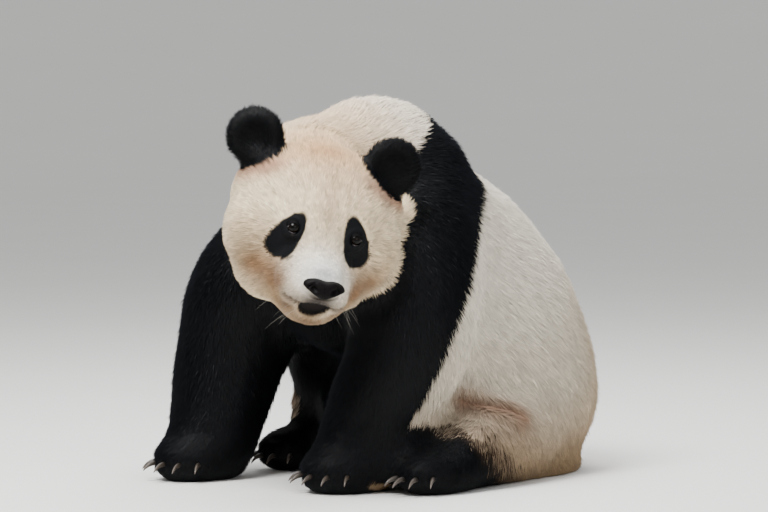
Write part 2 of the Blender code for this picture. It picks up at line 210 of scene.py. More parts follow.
class PandaColours(bpy.types.PropertyGroup):
    """Colours of the coat and the floor."""

    white: colour_setting("White coat", "Clean fur of the back", "#E9E0CF")
    cream: colour_setting("Cream coat", "Fur of the face", "#EBD4B0")
    black: colour_setting("Black coat", "Fur of legs, shoulders, ears and eye patches", "#08090C")
    tan: colour_setting("Tan stain", "Fur of the crown", "#AE7744")
    brown: colour_setting("Brown stain", "Fur beside the muzzle", "#663F1E")
    floor: colour_setting("Floor", "Pale studio floor", "#F2F1EE")


def sizes():
    """The sizes that hold for this scene."""
    return bpy.context.scene.panda_sizes


def colours():
    """The colours that hold for this scene."""
    return bpy.context.scene.panda_colours


# ---- materials
def add_node(tree, kind, settings=None, links=None):
    """A node with its sockets and attributes set and its inputs joined."""
    node = tree.nodes.new(kind)
    for key, value in (settings or {}).items():
        if isinstance(key, int) or key in node.inputs:
            node.inputs[key].default_value = value
        else:
            setattr(node, key, value)
    join(tree, node, links or {})
    return node


def join(tree, node, links):
    """Links each named input of a node to an output, or to the first output of another node."""
    for key, source in links.items():
        tree.links.new(getattr(source, "outputs", (source,))[0], node.inputs[key])


def new_material(name, surface):
    """A material with one Principled shader; returns it, its tree, the shader and each point's place."""
    material = bpy.data.materials.new(name)
    material.use_nodes = True
    tree = material.node_tree
    shader = tree.nodes["Principled BSDF"]
    for key, value in surface.items():
        shader.inputs[key].default_value = value
    place = add_node(tree, "ShaderNodeTexCoord").outputs["Object"]
    return material, tree, shader, place


def fur_material(name, roughness, shine, sheen, sheen_tint, mottle):
    """Guard hair in tufts. Colour comes from the markings; fine streaks and a soft mottle break it up.

    The streaks stand 1.5 mm apart, coarser than hair, so that they show.
    """
    surface = {
        "Roughness": roughness,
        "Specular IOR Level": shine,
        "IOR": 1.55,  # keratin
        "Sheen Weight": sheen,
        "Sheen Roughness": 0.45,
        "Sheen Tint": sheen_tint,
    }
    material, tree, shader, place = new_material(name, surface)
    coat = add_node(tree, "ShaderNodeAttribute", {"attribute_name": MARKINGS})
    fine, broad = (
        add_node(
            tree, "ShaderNodeTexNoise", {"Scale": 1 / (apart * MM), "Detail": detail}, {"Vector": place}
        )
        for apart, detail in ((1.5, 2.0), (22, 3.0))
    )
    both = add_node(tree, "ShaderNodeMath", {"operation": "ADD"}, {0: fine, 1: broad})
    bounds = {"From Min": 0.6, "From Max": 1.4, "To Min": 1.0 - mottle, "To Max": 1.0 + mottle}
    shade = add_node(tree, "ShaderNodeMapRange", bounds, {"Value": both})
    tinted = add_node(tree, "ShaderNodeVectorMath", {"operation": "SCALE"}, {0: coat, "Scale": shade})
    join(tree, shader, {"Base Color": tinted})
    return material


# ---- meshes
def fill_mesh(name, points, triangles):
    """A mesh from whole arrays of points and triangles."""
    mesh = bpy.data.meshes.new(name)
    mesh.vertices.add(len(points))
    mesh.vertices.foreach_set("co", np.asarray(points, np.float32).ravel())
    mesh.loops.add(len(triangles) * 3)
    mesh.loops.foreach_set("vertex_index", np.asarray(triangles, np.int32).ravel())
    mesh.polygons.add(len(triangles))
    mesh.polygons.foreach_set("loop_start", np.arange(len(triangles), dtype=np.int32) * 3)
    smooth(mesh)
    mesh.update(calc_edges=True)
    return mesh


def put(name, data):
    """A new object with this data, in the scene."""
    piece = bpy.data.objects.new(name, data)
    bpy.context.scene.collection.objects.link(piece)
    return piece


def show(name, mesh, material, replaced=()):
    """Puts a finished mesh in the scene on the panda's one body."""
    piece = put(name, mesh)
    mesh.materials.append(material)
    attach(piece, "root")
    if replaced:
        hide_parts(*replaced)


def grid_triangles(rows, columns):
    """Triangles of a grid of points, row after row, whose last column is joined to the first."""
    row, column = np.meshgrid(np.arange(rows - 1), np.arange(columns), indexing="ij")
    beside = (column + 1) % columns
    a, b = row * columns + column, row * columns + beside
    c, d = a + columns, b + columns
    return np.concatenate([np.stack(corners, -1).reshape(-1, 3) for corners in ((a, b, d), (a, d, c))])


def parameters(rows, columns):
    """The two parameters of a closed grid: 0 to 1 down its rows, and once round along its columns."""
    along = np.linspace(0.0, 1.0, rows)[:, None]
    turn = np.linspace(0.0, 2 * math.pi, columns, endpoint=False)[None]
    return along, turn


@contextmanager
def edited(mesh):
    """Opens a mesh to bmesh's tools and puts back what they made."""
    form = bmesh.new()
    form.from_mesh(mesh)
    yield form
    form.to_mesh(mesh)
    form.free()


def smooth(mesh):
    """Sets every face of a mesh to smooth shading."""
    mesh.polygons.foreach_set("use_smooth", np.ones(len(mesh.polygons), bool))


def weld(mesh, distance=1e-5):
    """Merges the doubles of a mesh, drops what has no area, and points its faces outward."""
    with edited(mesh) as form:
        bmesh.ops.remove_doubles(form, verts=form.verts, dist=distance)
        bmesh.ops.dissolve_degenerate(form, edges=form.edges, dist=distance)
        bmesh.ops.recalc_face_normals(form, faces=form.faces)
    smooth(mesh)
    return mesh


def read(items, field, width=None, kind=np.float32):
    """One field of a mesh's items as an array, with width numbers to a row."""
    flat = np.empty(len(items) * (width or 1), kind)
    items.foreach_get(field, flat)
    return flat.reshape(-1, width) if width else flat


def note(mesh, name, values):
    """Writes a number for each point of a mesh as an attribute; whole numbers stay whole."""
    whole = np.issubdtype(values.dtype, np.integer)
    layer = mesh.attributes.new(name, "INT" if whole else "FLOAT", "POINT")
    layer.data.foreach_set("value", values.astype(np.int32 if whole else np.float32).ravel())


def coordinates(mesh):
    """A mesh's points as an array."""
    return read(mesh.vertices, "co", 3).astype(float)


def move_to(mesh, points):
    """Puts a mesh's points where the array says."""
    mesh.vertices.foreach_set("co", np.asarray(points, np.float32).ravel())
    mesh.update()


def outward(mesh):
    """A mesh's vertex normals as an array."""
    return read(mesh.vertex_normals, "vector", 3).astype(float)


def edge_ends(mesh):
    """Vertex numbers of each edge."""
    return read(mesh.edges, "vertices", 2, np.int32)


def spread(values, ends, factor, share=1.0):
    """Moves each value towards the mean of its neighbours' by factor, and only by share of that."""
    count = len(values)
    flat = values.reshape(count, -1)
    both = np.concatenate([ends[:, 0], ends[:, 1]])
    other = np.concatenate([ends[:, 1], ends[:, 0]])
    neighbours = np.maximum(np.bincount(both, minlength=count), 1)
    sums = [np.bincount(both, column[other], minlength=count) for column in flat.T]
    mean = np.stack(sums, -1) / neighbours[:, None]
    moved = flat + (mean - flat) * factor * np.reshape(share, (-1, 1))
    return moved.reshape(values.shape)


def relax(points, ends, passes, share=1.0):
    """Smooths points without shrinking their form: each pass spreads them, then spreads them back."""
    for _ in range(passes):
        points = spread(points, ends, 0.50, share)
        points = spread(points, ends, -0.52, share)
    return points


# ---- the body's areas
NODES = sorted(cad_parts)
FLESH = [name for name in NODES if not name.startswith(("eye_", "claw_", "nose"))]
CLAWS = [name for name in NODES if name.startswith("claw_")]
FEET = ("foreleg_left_paw", "foreleg_right_paw", "hindleg_left_foot", "hindleg_right_foot")
HEAD_NODES = ("head", "jaw")


def solids_tree():
    """A search tree over the flesh solids, and the number in FLESH of the node behind each face."""
    points, faces, owners = [], [], []
    for number, name in enumerate(FLESH):
        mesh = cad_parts[name].data
        start = len(points)
        points += [vertex.co.copy() for vertex in mesh.vertices]
        faces += [[start + i for i in polygon.vertices] for polygon in mesh.polygons]
        owners += [number] * len(mesh.polygons)
    return BVHTree.FromPolygons(points, faces), np.array(owners)


def areas_of(points):
    """Number in FLESH of the solid nearest to each point."""
    tree, owners = solids_tree()
    return owners[[tree.find_nearest(Vector(point))[2] for point in points]]


def of_area(areas, *starts):
    """Which points belong to nodes whose names start so."""
    numbers = [i for i, name in enumerate(FLESH) if name.startswith(starts)]
    return np.isin(areas, numbers)


def gauss(points, centre, reach):
    """1 at the centre, falling off as a bell over reach; reach may differ along the three axes."""
    return np.exp(-np.sum(((points - np.asarray(centre)) / np.asarray(reach)) ** 2, axis=-1))


def twin(points):
    """Points folded on to the panda's left, so that one rule makes both sides."""
    folded = points.copy()
    folded[:, 0] = np.abs(folded[:, 0])
    return folded


# ---- markings: one rule for skin and coat
# middle across and up on the head's axes, and slant outward from straight down, of each dark patch
PATCHES = {"left": (0.0585, 0.0025, math.radians(18.0)), "right": (0.0655, -0.0065, math.radians(27.0))}
PATCH_HALF = (0.0246, 0.0480)
PATCH_ROUNDNESS = 2.1  # 2 is an ellipse, more is squarer
# the fold of the left thigh, seen from the trunk's middle on the floor
CREASE = np.array(((0.240, -0.045, 0.168), (0.276, -0.012, 0.156), (0.300, 0.036, 0.140)))
# the hollow between muzzle and cheek and the edge of the muzzle, on the head's axes, the left ones
MUZZLE_VALLEY = np.array(((0.064, -0.124, -0.024), (0.076, -0.130, -0.050), (0.080, -0.138, -0.085)))
MUZZLE_EDGE = np.array(((0.050, -0.150, -0.040), (0.056, -0.180, -0.064), (0.050, -0.205, -0.085)))
# middle and half-sizes of the head's masses on its own axes
HEAD_MASSES = (
    ((0.0, 0.040, 0.024), (0.154, 0.135, 0.126)),
    ((0.0, -0.016, -0.010), (0.157, 0.119, 0.128)),
    ((0.0, -0.004, 0.040), (0.132, 0.100, 0.096)),
    ((0.0, -0.075, -0.078), (0.104, 0.102, 0.074)),
    ((0.0, -0.116, -0.076), (0.082, 0.100, 0.064)),
    ((0.0, -0.156, -0.079), (0.068, 0.072, 0.055)),
    ((0.0, -0.112, -0.114), (0.066, 0.084, 0.050)),
    ((0.108, 0.020, 0.034), (0.060, 0.078, 0.064)),
    ((-0.104, 0.020, 0.034), (0.060, 0.078, 0.064)),
    ((0.048, -0.030, -0.085), (0.074, 0.086, 0.066)),
    ((-0.066, -0.030, -0.085), (0.074, 0.086, 0.066)),
    ((0.089, -0.032, -0.019), (0.075, 0.086, 0.088)),
    ((-0.098, -0.032, -0.019), (0.075, 0.086, 0.088)),
    ((0.100, 0.060, 0.050), (0.079, 0.062, 0.060)),
    ((-0.100, 0.060, 0.050), (0.079, 0.062, 0.060)),
)
# shoulder, elbow, wrist and paw of each foreleg, seen from the trunk's middle on the floor
FORELEG_LINES = {
    "left": np.array(((0.121, -0.054, 0.455), (0.169, -0.109, 0.350), (0.184, -0.144, 0.250),
                      (0.158, -0.189, 0.150), (0.144, -0.222, 0.070))),
    "right": np.array(((-0.163, -0.054, 0.455), (-0.211, -0.156, 0.350), (-0.226, -0.191, 0.250),
                       (-0.218, -0.236, 0.150), (-0.204, -0.269, 0.070))),
}


def off_head(local):
    """How far head points lie out of the head's masses: 1 on the surface of the nearest, more outside."""
    return np.min([np.linalg.norm((local - at) / half, axis=1) for at, half in HEAD_MASSES], axis=0)


def eye_patch(local):
    """Shape of the dark patch: below 1 inside. It slants outward as it falls and is broadest low down."""
    out, up, slant = (np.where(local[:, 0] > 0.0, *pair) for pair in zip(PATCHES["left"], PATCHES["right"]))
    across, up = np.abs(local[:, 0]) - out, local[:, 2] - up
    along = -up * np.cos(slant) + across * np.sin(slant)
    aside = across * np.cos(slant) + up * np.sin(slant)
    width = PATCH_HALF[0] * (1.0 + 0.28 * np.clip(along / PATCH_HALF[1], -1, 1))
    both = np.abs(along / PATCH_HALF[1]) ** PATCH_ROUNDNESS + np.abs(aside / width) ** PATCH_ROUNDNESS
    shape = both ** (1 / PATCH_ROUNDNESS)
    return np.where(local[:, 1] < -0.03, shape, 9.0)


EAR_EDGE = (0.0600, 0.0665)  # from an ear's middle: all black inside the first, none outside the second
MOUTH_MIDDLE, MOUTH_HALF = -0.006, 0.029  # the open part lies a little to the right
MOUTH_DROP = 0.0310  # how far the lower lip hangs


def upper_lip(x):
    """Height of the upper lip's edge on the head's axes: it sags beside the middle and rises again."""
    away = np.abs(x)
    return -0.1020 - 0.0045 * bell(away - 0.029, 0.011) + 0.0050 * smooth_step(away, 0.038, 0.056)


def lower_lip(x):
    """Height of the lower lip's edge."""
    share = np.clip(1.0 - ((x - MOUTH_MIDDLE) / MOUTH_HALF) ** 2, 0.0, 1.0)
    return upper_lip(x) - 0.0005 - MOUTH_DROP * share**0.6


def mouth_share(local):
    """How far a point lies on the bare lips."""
    x, y, z = local.T
    inside = np.minimum(upper_lip(x) - z, z - lower_lip(x))
    shape = smooth_step(inside, -0.0014, 0.0024)
    return shape * (y < -0.13) * (np.abs(x) < 0.056)


def near_line(points, line):
    """Distance of each point to a line through a few points."""
    best = np.full(len(points), 9.0)
    for start, end in zip(line[:-1], line[1:]):
        way = end - start
        share = np.clip((points - start) @ way / (way @ way), 0.0, 1.0)
        best = np.minimum(best, np.linalg.norm(points - start - share[:, None] * way, axis=1))
    return best


def ripple(points, length):
    """Smooth waves about length apart, between -1 and 1, the same on every run."""
    x, y, z = (points * (2.0 * math.pi / length)).T
    first = np.sin(x + 1.3 * np.sin(0.7 * y + 0.4)) * np.cos(0.9 * z + 0.8 * np.sin(0.6 * x))
    second = np.sin(1.1 * y - 0.6 * z + 1.1 * np.sin(0.8 * x + 2.0))
    return 0.5 * (first + second)


def blackness(points, areas):
    """Share of black hair at each place: ears, eye patches, shoulder band, forelegs, shins and feet."""
    local, body = to_head(points), to_body(points)
    head = fading(off_head(local) + 0.012 * ripple(points, 0.03), 1.035, 1.075)
    ear = fading(np.linalg.norm(from_ear(local), axis=1), *EAR_EDGE)
    patch = fading(eye_patch(local) + 0.05 * ripple(points, 0.02), 0.93, 1.05)
    dark = np.maximum(ear, patch * head)
    x, y, z = body.T
    low = z - 0.19
    rear = -0.175 + 0.30 * low + 1.1 * low * np.abs(low) + 0.005 * ripple(points, 0.09)
    breast = fading(np.abs(x), 0.15, 0.21) * fading(z, 0.30, 0.44)
    armpit = smooth_step(-x, 0.11, 0.17) * fading(z, 0.24, 0.36)
    rear = rear + np.maximum(0.42 * breast, 0.20 * armpit)
    front = -0.002 - 1.3 * (0.671 - z)
    band = smooth_step(np.minimum(rear - y, y - front), -0.005, 0.007) * (1.0 - head)
    dark = np.maximum(dark, band)
    for side, out in SIDES.items():
        line = FORELEG_LINES[side]
        axis = np.interp(z, line[::-1, 2], line[::-1, 0] * out)
        leg = smooth_step(0.150 - near_line(body, line), -0.010, 0.010)
        leg = leg * smooth_step(axis - x * out, -0.02, 0.02) * fading(z, 0.38, 0.44)
        start = middle(f"hindleg_{side}_foot")[1] + 0.06
        edge = 0.125 - 0.72 * (points[:, 1] - start) + 0.012 * ripple(points, 0.06)
        foot = smooth_step(edge - z, -0.055, 0.035) * (x * out > 0.09)
        shin = smooth_step(0.215 - x * out, -0.012, 0.012) * (z < 0.22) * (y < 0.10)
        foot = np.where(of_area(areas, f"hindleg_{side}"), np.maximum(foot, shin), 0.0)
        dark = np.maximum(dark, np.maximum(foot, leg * (1.0 - head)))
    return dark


def pale_coat(points):
    """Colour of the pale hair at each place: a base, then stains that fade out as bells."""
    hue = colours()
    local, body = to_head(points), to_body(points)
    folded, side = twin(local), twin(body)
    y, z = body[:, 1], body[:, 2]
    head = fading(off_head(local), 1.02, 1.35)
    off = 1.0 - head
    tint = tone(hue.white) * off[:, None] + tone(hue.cream) * head[:, None]
    # painted shade along the crease of the upper lip, out towards the mouth's corners
    line = bell(local[:, 2] - upper_lip(local[:, 0]) - 0.0005, 0.0038)
    line = line * (local[:, 1] < -0.12) * fading(np.abs(local[:, 0]), 0.046, 0.062)
    near_ear = np.linalg.norm(from_ear(local) * (0.9, 0.7, 1.0), axis=1)
    below = smooth_step(-from_ear(local)[:, 2], 0.010, 0.040) * (local[:, 1] < 0.05)
    rump = smooth_step(y, 0.16, 0.40) * fading(z, 0.26, 0.50)
    fold = near_line(side, CREASE)
    stains = (
        # the head: cool white muzzle, tan crown, brown beside the muzzle and round the mouth, dark hair
        # under the nose deepened by painted shade below the pad, and painted shade along the lip's crease
        (0.95 * head * gauss(local, (0, -0.2, -0.055), (0.066, 0.085, 0.050)), "#E0E1DD"),
        (0.95 * gauss(local, (-0.010, 0.005, 0.130), (0.090, 0.085, 0.045)), hue.tan),
        (0.85 * gauss(local, (0, 0.19, 0.13), (0.15, 0.20, 0.10)), "#DCB88A"),
        (0.55 * head * gauss(local, (0, -0.125, 0.045), (0.022, 0.05, 0.042)), "#B09A80"),
        (0.40 * head * gauss(local, (0, -0.09, 0.085), (0.050, 0.05, 0.030)), "#C9AC8C"),
        (head * gauss(folded, (0.073, -0.155, -0.090), (0.023, 0.06, 0.034)), hue.brown),
        (0.92 * head * gauss(folded, (0.102, -0.110, -0.070), (0.042, 0.08, 0.036)), "#7C532C"),
        (0.45 * head * gauss(folded, (0.124, -0.095, -0.024), (0.030, 0.06, 0.036)), "#B59A76"),
        (0.80 * head * gauss(folded, (0.060, -0.14, -0.125), (0.040, 0.07, 0.026)), "#A5804F"),
        (0.95 * head * gauss(local, (0, -0.15, -0.158), (0.06, 0.07, 0.028)), "#9C774A"),
        (0.60 * head * gauss(local, (0, -0.225, -0.048), (0.030, 0.03, 0.012)), "#5E5F63"),
        # dark hair under the nose, deepened with painted shade below the nose pad
        (0.80 * head * gauss(local, (-0.004, -0.22, -0.100), (0.036, 0.03, 0.012)), "#50453F"),
        # painted shade in the crease of the upper lip
        (0.75 * head * line, "#3B2E28"),
        # painted shade under the nose pad, over dark hair
        (0.92 * head * gauss(local, (-0.002, -0.21, -0.097), (0.034, 0.05, 0.0110)), "#2C2624"),
        (0.90 * head * gauss(folded, (0.046, -0.17, -0.122), (0.020, 0.06, 0.017)), "#64452A"),
        (0.90 * head * gauss(local, (0, -0.18, -0.146), (0.052, 0.06, 0.015)), "#5E4228"),
        (0.45 * head * gauss(folded, (0.036, -0.14, 0.000), (0.012, 0.03, 0.020)), "#8C8378"),
        (0.75 * below * fading(near_ear, 0.064, 0.096), "#A07058"),
        # the body: greyer low down, tan on the rump, brown in the fold of the thigh with painted shade along
        # its crease
        (0.60 * off * fading(z, 0.12, 0.46), "#B5A68E"),
        (0.60 * off * fading(z, 0.06, 0.22), "#8E7252"),
        (0.75 * off * rump, "#977850"),
        (0.88 * off * bell(fold, 0.028), "#6E4022"),
        # painted shade: a near black line along the crease of the thigh
        (0.85 * off * bell(fold, 0.007), "#2E180D"),
        (0.50 * off * gauss(side, (0.29, -0.03, 0.105), (0.08, 0.09, 0.045)), "#866E58"),
        (0.75 * off * fading(z, 0.02, 0.13), "#7D6340"),
    )
    for share, colour in stains:
        tint = tint + (tone(colour) - tint) * np.clip(share, 0.0, 1.0)[:, None]
    return tint


# ---- the skin
def coat_depth(points, areas):
    """How far the skin lies inside the solids: deep on body and cheeks, shallow on face, ears and feet."""
    size = sizes()
    local = to_head(points)
    folded = twin(local)
    depth = np.full(len(points), size.body_depth)
    depth[of_area(areas, "foreleg", "hindleg")] = size.leg_depth
    depth[of_area(areas, *FEET)] = PAW_COAT
    head = fading(off_head(local), 1.05, 1.15)
    cheek = smooth_step(folded[:, 0], 0.070, 0.120) * fading(local[:, 2], 0.02, 0.10)
    cheek = np.maximum(cheek, smooth_step(local[:, 1], -0.02, 0.06) * 0.8)
    face = size.face_depth + (size.cheek_depth - size.face_depth) * cheek
    face = face + 0.003 * smooth_step(local[:, 2], 0.03, 0.09) * (1.0 - cheek)
    face = face - 0.0012 * smooth_step(-local[:, 1], 0.15, 0.19)
    face = face - 0.0008 * gauss(folded[:, ::2], EYE_PLACE[::2], 0.022) * (local[:, 1] < -0.08)
    depth = depth + (face - depth) * head
    depth[of_area(areas, "ear")] = EAR_COAT
    return depth * smooth_step(points[:, 2], -0.002, 0.030)


def joined_solids():
    """The flesh, eyes and nose solids in one mesh."""
    mesh = bpy.data.meshes.new("skin")
    with edited(mesh) as form:
        for name in FLESH + ["eye_left", "eye_right", "nose"]:
            form.from_mesh(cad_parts[name].data)
        bmesh.ops.remove_doubles(form, verts=form.verts, dist=1e-5)
    return mesh


def remeshed(mesh, grain):
    """The outer surface of a mesh as one even net of faces."""
    piece = put("skin_form", mesh)
    change = piece.modifiers.new("one surface", "REMESH")
    change.mode = "VOXEL"
    change.voxel_size = grain
    graph = bpy.context.evaluated_depsgraph_get()
    made = bpy.data.meshes.new_from_object(piece.evaluated_get(graph))
    bpy.data.objects.remove(piece)
    return made


def largest_island(mesh):
    """Keeps the island with the most points."""
    with edited(mesh) as form:
        left, best = set(form.verts), set()
        while left:
            seed = left.pop()
            island, border = {seed}, [seed]
            while border:
                vertex = border.pop()
                for edge in vertex.link_edges:
                    other = edge.other_vert(vertex)
                    if other not in island:
                        island.add(other)
                        border.append(other)
            left -= island
            best = max(best, island, key=len)
        loose = [vertex for vertex in form.verts if vertex not in best]
        bmesh.ops.delete(form, geom=loose, context="VERTS")


def refine(mesh, chosen):
    """Splits every edge whose two ends are chosen, and the faces between, into an even grid."""
    with edited(mesh) as form:
        edges = [edge for edge in form.edges if all(chosen[end.index] for end in edge.verts)]
        bmesh.ops.subdivide_edges(form, edges=edges, cuts=1, use_grid_fill=True)
    mesh.update()


def face_zone(points, reach):
    """The front of the face; reach 0 is all of it, 1 the lids, nose and mouth alone."""
    folded = twin(to_head(points))
    if not reach:
        return (folded[:, 1] < -0.070) & (folded[:, 0] < 0.13) & (folded[:, 2] > -0.20)
    eye = np.linalg.norm(folded - EYE_PLACE, axis=1) < 0.028
    muzzle = (folded[:, 1] < -0.150) & (folded[:, 0] < 0.066) & (folded[:, 2] > -0.150)
    return eye | (muzzle & (folded[:, 2] < -0.045))


def sculpt(points, normals, areas):
    """Folds of the skin: sockets, muzzle, bed of the nose, lips, nape, thigh crease and toes.

    Most push the skin in or out along its normals by a bell of the distance to a place or a line.
    """
    local = to_head(points)
    folded = twin(local)
    head = of_area(areas, *HEAD_NODES)
    push = np.zeros(len(points))
    # the skin dives round each eyeball and swells to a soft ring outside it
    around = np.linalg.norm((folded - EYE_PLACE)[:, ::2], axis=1)
    front_eye = head & (local[:, 1] < -0.07)
    inside = front_eye & (around < 0.0100)
    local[inside, 1] = np.maximum(local[inside, 1], EYE_PLACE[1] - 0.002)
    push += 0.0022 * front_eye * bell(around - 0.0165, 0.0050)
    # the cheek drops back beside the muzzle, and the muzzle's own edge is full
    push += -0.0040 * head * bell(near_line(folded, MUZZLE_VALLEY), 0.010)
    push += 0.0018 * head * bell(near_line(folded, MUZZLE_EDGE), 0.009)
    # the nose pad's bed
    off = (local - NOSE_PLACE) / (0.037, 0.020, 0.016)
    bed = head & (np.linalg.norm(off, axis=1) < 1.15)
    local[bed, 1] = np.maximum(local[bed, 1], NOSE_PLACE[1] + 0.002)
    # the left flank of the muzzle is drawn in
    flank = head * smooth_step(-local[:, 1], 0.12, 0.16) * smooth_step(local[:, 0], 0.015, 0.055)
    local[:, 0] -= 0.0090 * flank
    points = from_head(local)
    # mouth: an opening under the upper lip, both lips full round it, and a line out to the corners
    x, z = local[:, 0], local[:, 2]
    front = head * smooth_step(-local[:, 1], 0.14, 0.17) * (np.abs(x) < 0.064)
    upper, lower = z - upper_lip(x), z - lower_lip(x)
    push += -0.0090 * mouth_share(local) * smooth_step(lower - upper, 0.004, 0.014)
    push += -0.0030 * front * bell(upper, 0.0022) * smooth_step(-np.abs(x), -0.058, -0.046)
    push += 0.0022 * front * bell(upper - 0.010, 0.006) * bell(x, 0.05)
    push += 0.0026 * front * bell(lower + 0.005, 0.005) * bell(x, 0.03)
    # philtrum
    push += -0.0018 * front * bell(x, 0.0016) * smooth_step(z, -0.114, -0.104) * (z < -0.09)
    # the nape is full between crown and shoulders
    push += 0.0065 * gauss(to_body(points), (-0.021, -0.120, 0.690), (0.075, 0.075, 0.060))
    # crease of the thigh
    fold = near_line(twin(to_body(points)), CREASE)
    push += -0.010 * bell(fold, 0.007) * ~head
    push += 0.004 * bell(fold - 0.020, 0.009) * ~head
    # toes
    for limb in ("fore", "hind"):
        for side in SIDES:
            tips = [middle(f"claw_{limb}_{side}_{toe}") for toe in range(1, 6)]
            centre = middle(f"foreleg_{side}_paw" if limb == "fore" else f"hindleg_{side}_foot")
            for first, second in zip(tips[:-1], tips[1:]):
                between = (first + second) / 2
                back = between + (centre - between) * 0.55
                line = np.array((between, back))
                line[1, 2] = line[0, 2] + 0.035
                cleft = near_line(points, line)
                push += -0.007 * bell(cleft, 0.006) * (points[:, 2] < 0.10)
    return points + normals * push[:, None]


def make_skin():
    """The skin's mesh: the solids' joint surface, smoothed, refined on the face, set in and sculpted."""
    mesh = remeshed(joined_solids(), sizes().skin_grain)
    largest_island(mesh)
    points = relax(coordinates(mesh), edge_ends(mesh), 8)
    move_to(mesh, points)
    for reach in (0, 1):
        refine(mesh, face_zone(coordinates(mesh), reach))
        points, ends = coordinates(mesh), edge_ends(mesh)
        points = relax(points, ends, 4, face_zone(points, reach).astype(float))
        move_to(mesh, points)
    areas = areas_of(points)
    depth = coat_depth(points, areas)
    normals = outward(mesh)
    for _ in range(12):
        depth = spread(depth, ends, 0.8)
        normals = spread(normals, ends, 0.4)
    normals = unit(normals)
    points = points - normals * depth[:, None]
    points = relax(points, ends, 3)
    move_to(mesh, points)
    points = sculpt(points, outward(mesh), areas)
    points = spread(points, ends, 0.35)
    points[:, 2] = np.maximum(points[:, 2], 0.0)
    move_to(mesh, points)
    note(mesh, "area", areas)
    note(mesh, "depth", depth)
    return mesh


def unwrap(mesh):
    """Unwraps the skin by its own shape, into islands that face the same way."""
    piece = put("skin_unwrap", mesh)
    bpy.context.view_layer.objects.active = piece
    piece.select_set(True)
    mesh.uv_layers.new(name=BAKE_MAP)
    bpy.ops.object.mode_set(mode="EDIT")
    bpy.ops.mesh.select_all(action="SELECT")
    bpy.ops.uv.smart_project(angle_limit=math.radians(66.0), island_margin=0.002)
    bpy.ops.object.mode_set(mode="OBJECT")
    bpy.data.objects.remove(piece)


def paint(mesh, colour):
    """Writes the markings on a mesh."""
    layer = mesh.color_attributes.new(MARKINGS, "FLOAT_COLOR", "POINT")
    rgba = np.concatenate([colour, np.ones((len(colour), 1))], axis=1).astype(np.float32)
    layer.data.foreach_set("color", rgba.ravel())


def skin_colour(points, areas):
    """Markings on the skin: the coat's own colours, darkened all over with painted shade as at the coat's
    roots, and near black on the lips.
    """
    dark = blackness(points, areas)[:, None]
    colour = pale_coat(points) * (1.0 - dark) + tone(colours().black) * dark
    lips = mouth_share(to_head(points))[:, None]
    # painted shade: the skin at the foot of the coat is darkened like the tufts' roots
    return colour * SKIN_SHADE_UNDER_COAT * (1.0 - lips) + tone("#0E0A09") * lips


def skin_material():
    """Short underfur on hide: rough, broken by a fine bump 1 mm across that runs over the whole skin."""
    surface = {"Roughness": 0.72, "Specular IOR Level": 0.12}
    material, tree, shader, place = new_material("panda_hide_with_underfur", surface)
    coat = add_node(tree, "ShaderNodeAttribute", {"attribute_name": MARKINGS})
    grain = add_node(tree, "ShaderNodeTexNoise", {"Scale": 1 / (1.0 * MM), "Detail": 3.0}, {"Vector": place})
    shade = add_node(tree, "ShaderNodeMapRange", {"To Min": 0.8, "To Max": 1.15}, {"Value": grain})
    tinted = add_node(tree, "ShaderNodeVectorMath", {"operation": "SCALE"}, {0: coat, "Scale": shade})
    bump = add_node(tree, "ShaderNodeBump", {"Strength": 0.6, "Distance": 0.8 * MM}, {"Height": grain})
    join(tree, shader, {"Base Color": tinted, "Normal": bump})
    return material


# ---- the coat
# How the hair lies: a place and a direction, on the head's axes (mirrored) or in the world (mirrored).
HEAD_LIE = (
    ((0.00, -0.225, -0.040), (0.00, 0.75, 0.65)),
    ((0.00, -0.160, -0.010), (0.00, 0.70, 0.75)),
    ((0.00, -0.110, 0.060), (0.00, 0.45, 0.90)),
    ((0.00, -0.050, 0.115), (0.00, 0.85, 0.50)),
    ((0.00, 0.050, 0.150), (0.00, 1.00, 0.00)),
    ((0.06, -0.105, 0.040), (0.45, 0.35, 0.80)),
    ((0.10, -0.060, 0.060), (0.60, 0.60, 0.45)),
    ((0.13, -0.030, 0.020), (0.60, 0.75, 0.05)),
    ((0.11, -0.100, -0.020), (0.85, 0.45, -0.10)),
    ((0.14, -0.060, -0.060), (0.75, 0.50, -0.45)),
    ((0.09, -0.130, -0.060), (0.85, 0.40, -0.40)),
    ((0.10, -0.110, -0.110), (0.70, 0.40, -0.65)),
    ((0.06, -0.185, -0.080), (0.60, 0.65, -0.40)),
    ((0.03, -0.225, -0.100), (0.40, 0.55, -0.65)),
    ((0.00, -0.170, -0.160), (0.00, 0.60, -0.80)),
    ((0.06, -0.120, -0.150), (0.45, 0.45, -0.80)),
    ((0.15, 0.030, -0.020), (0.55, 0.80, -0.30)),
    ((0.08, -0.150, -0.020), (0.80, 0.45, -0.20)),
)
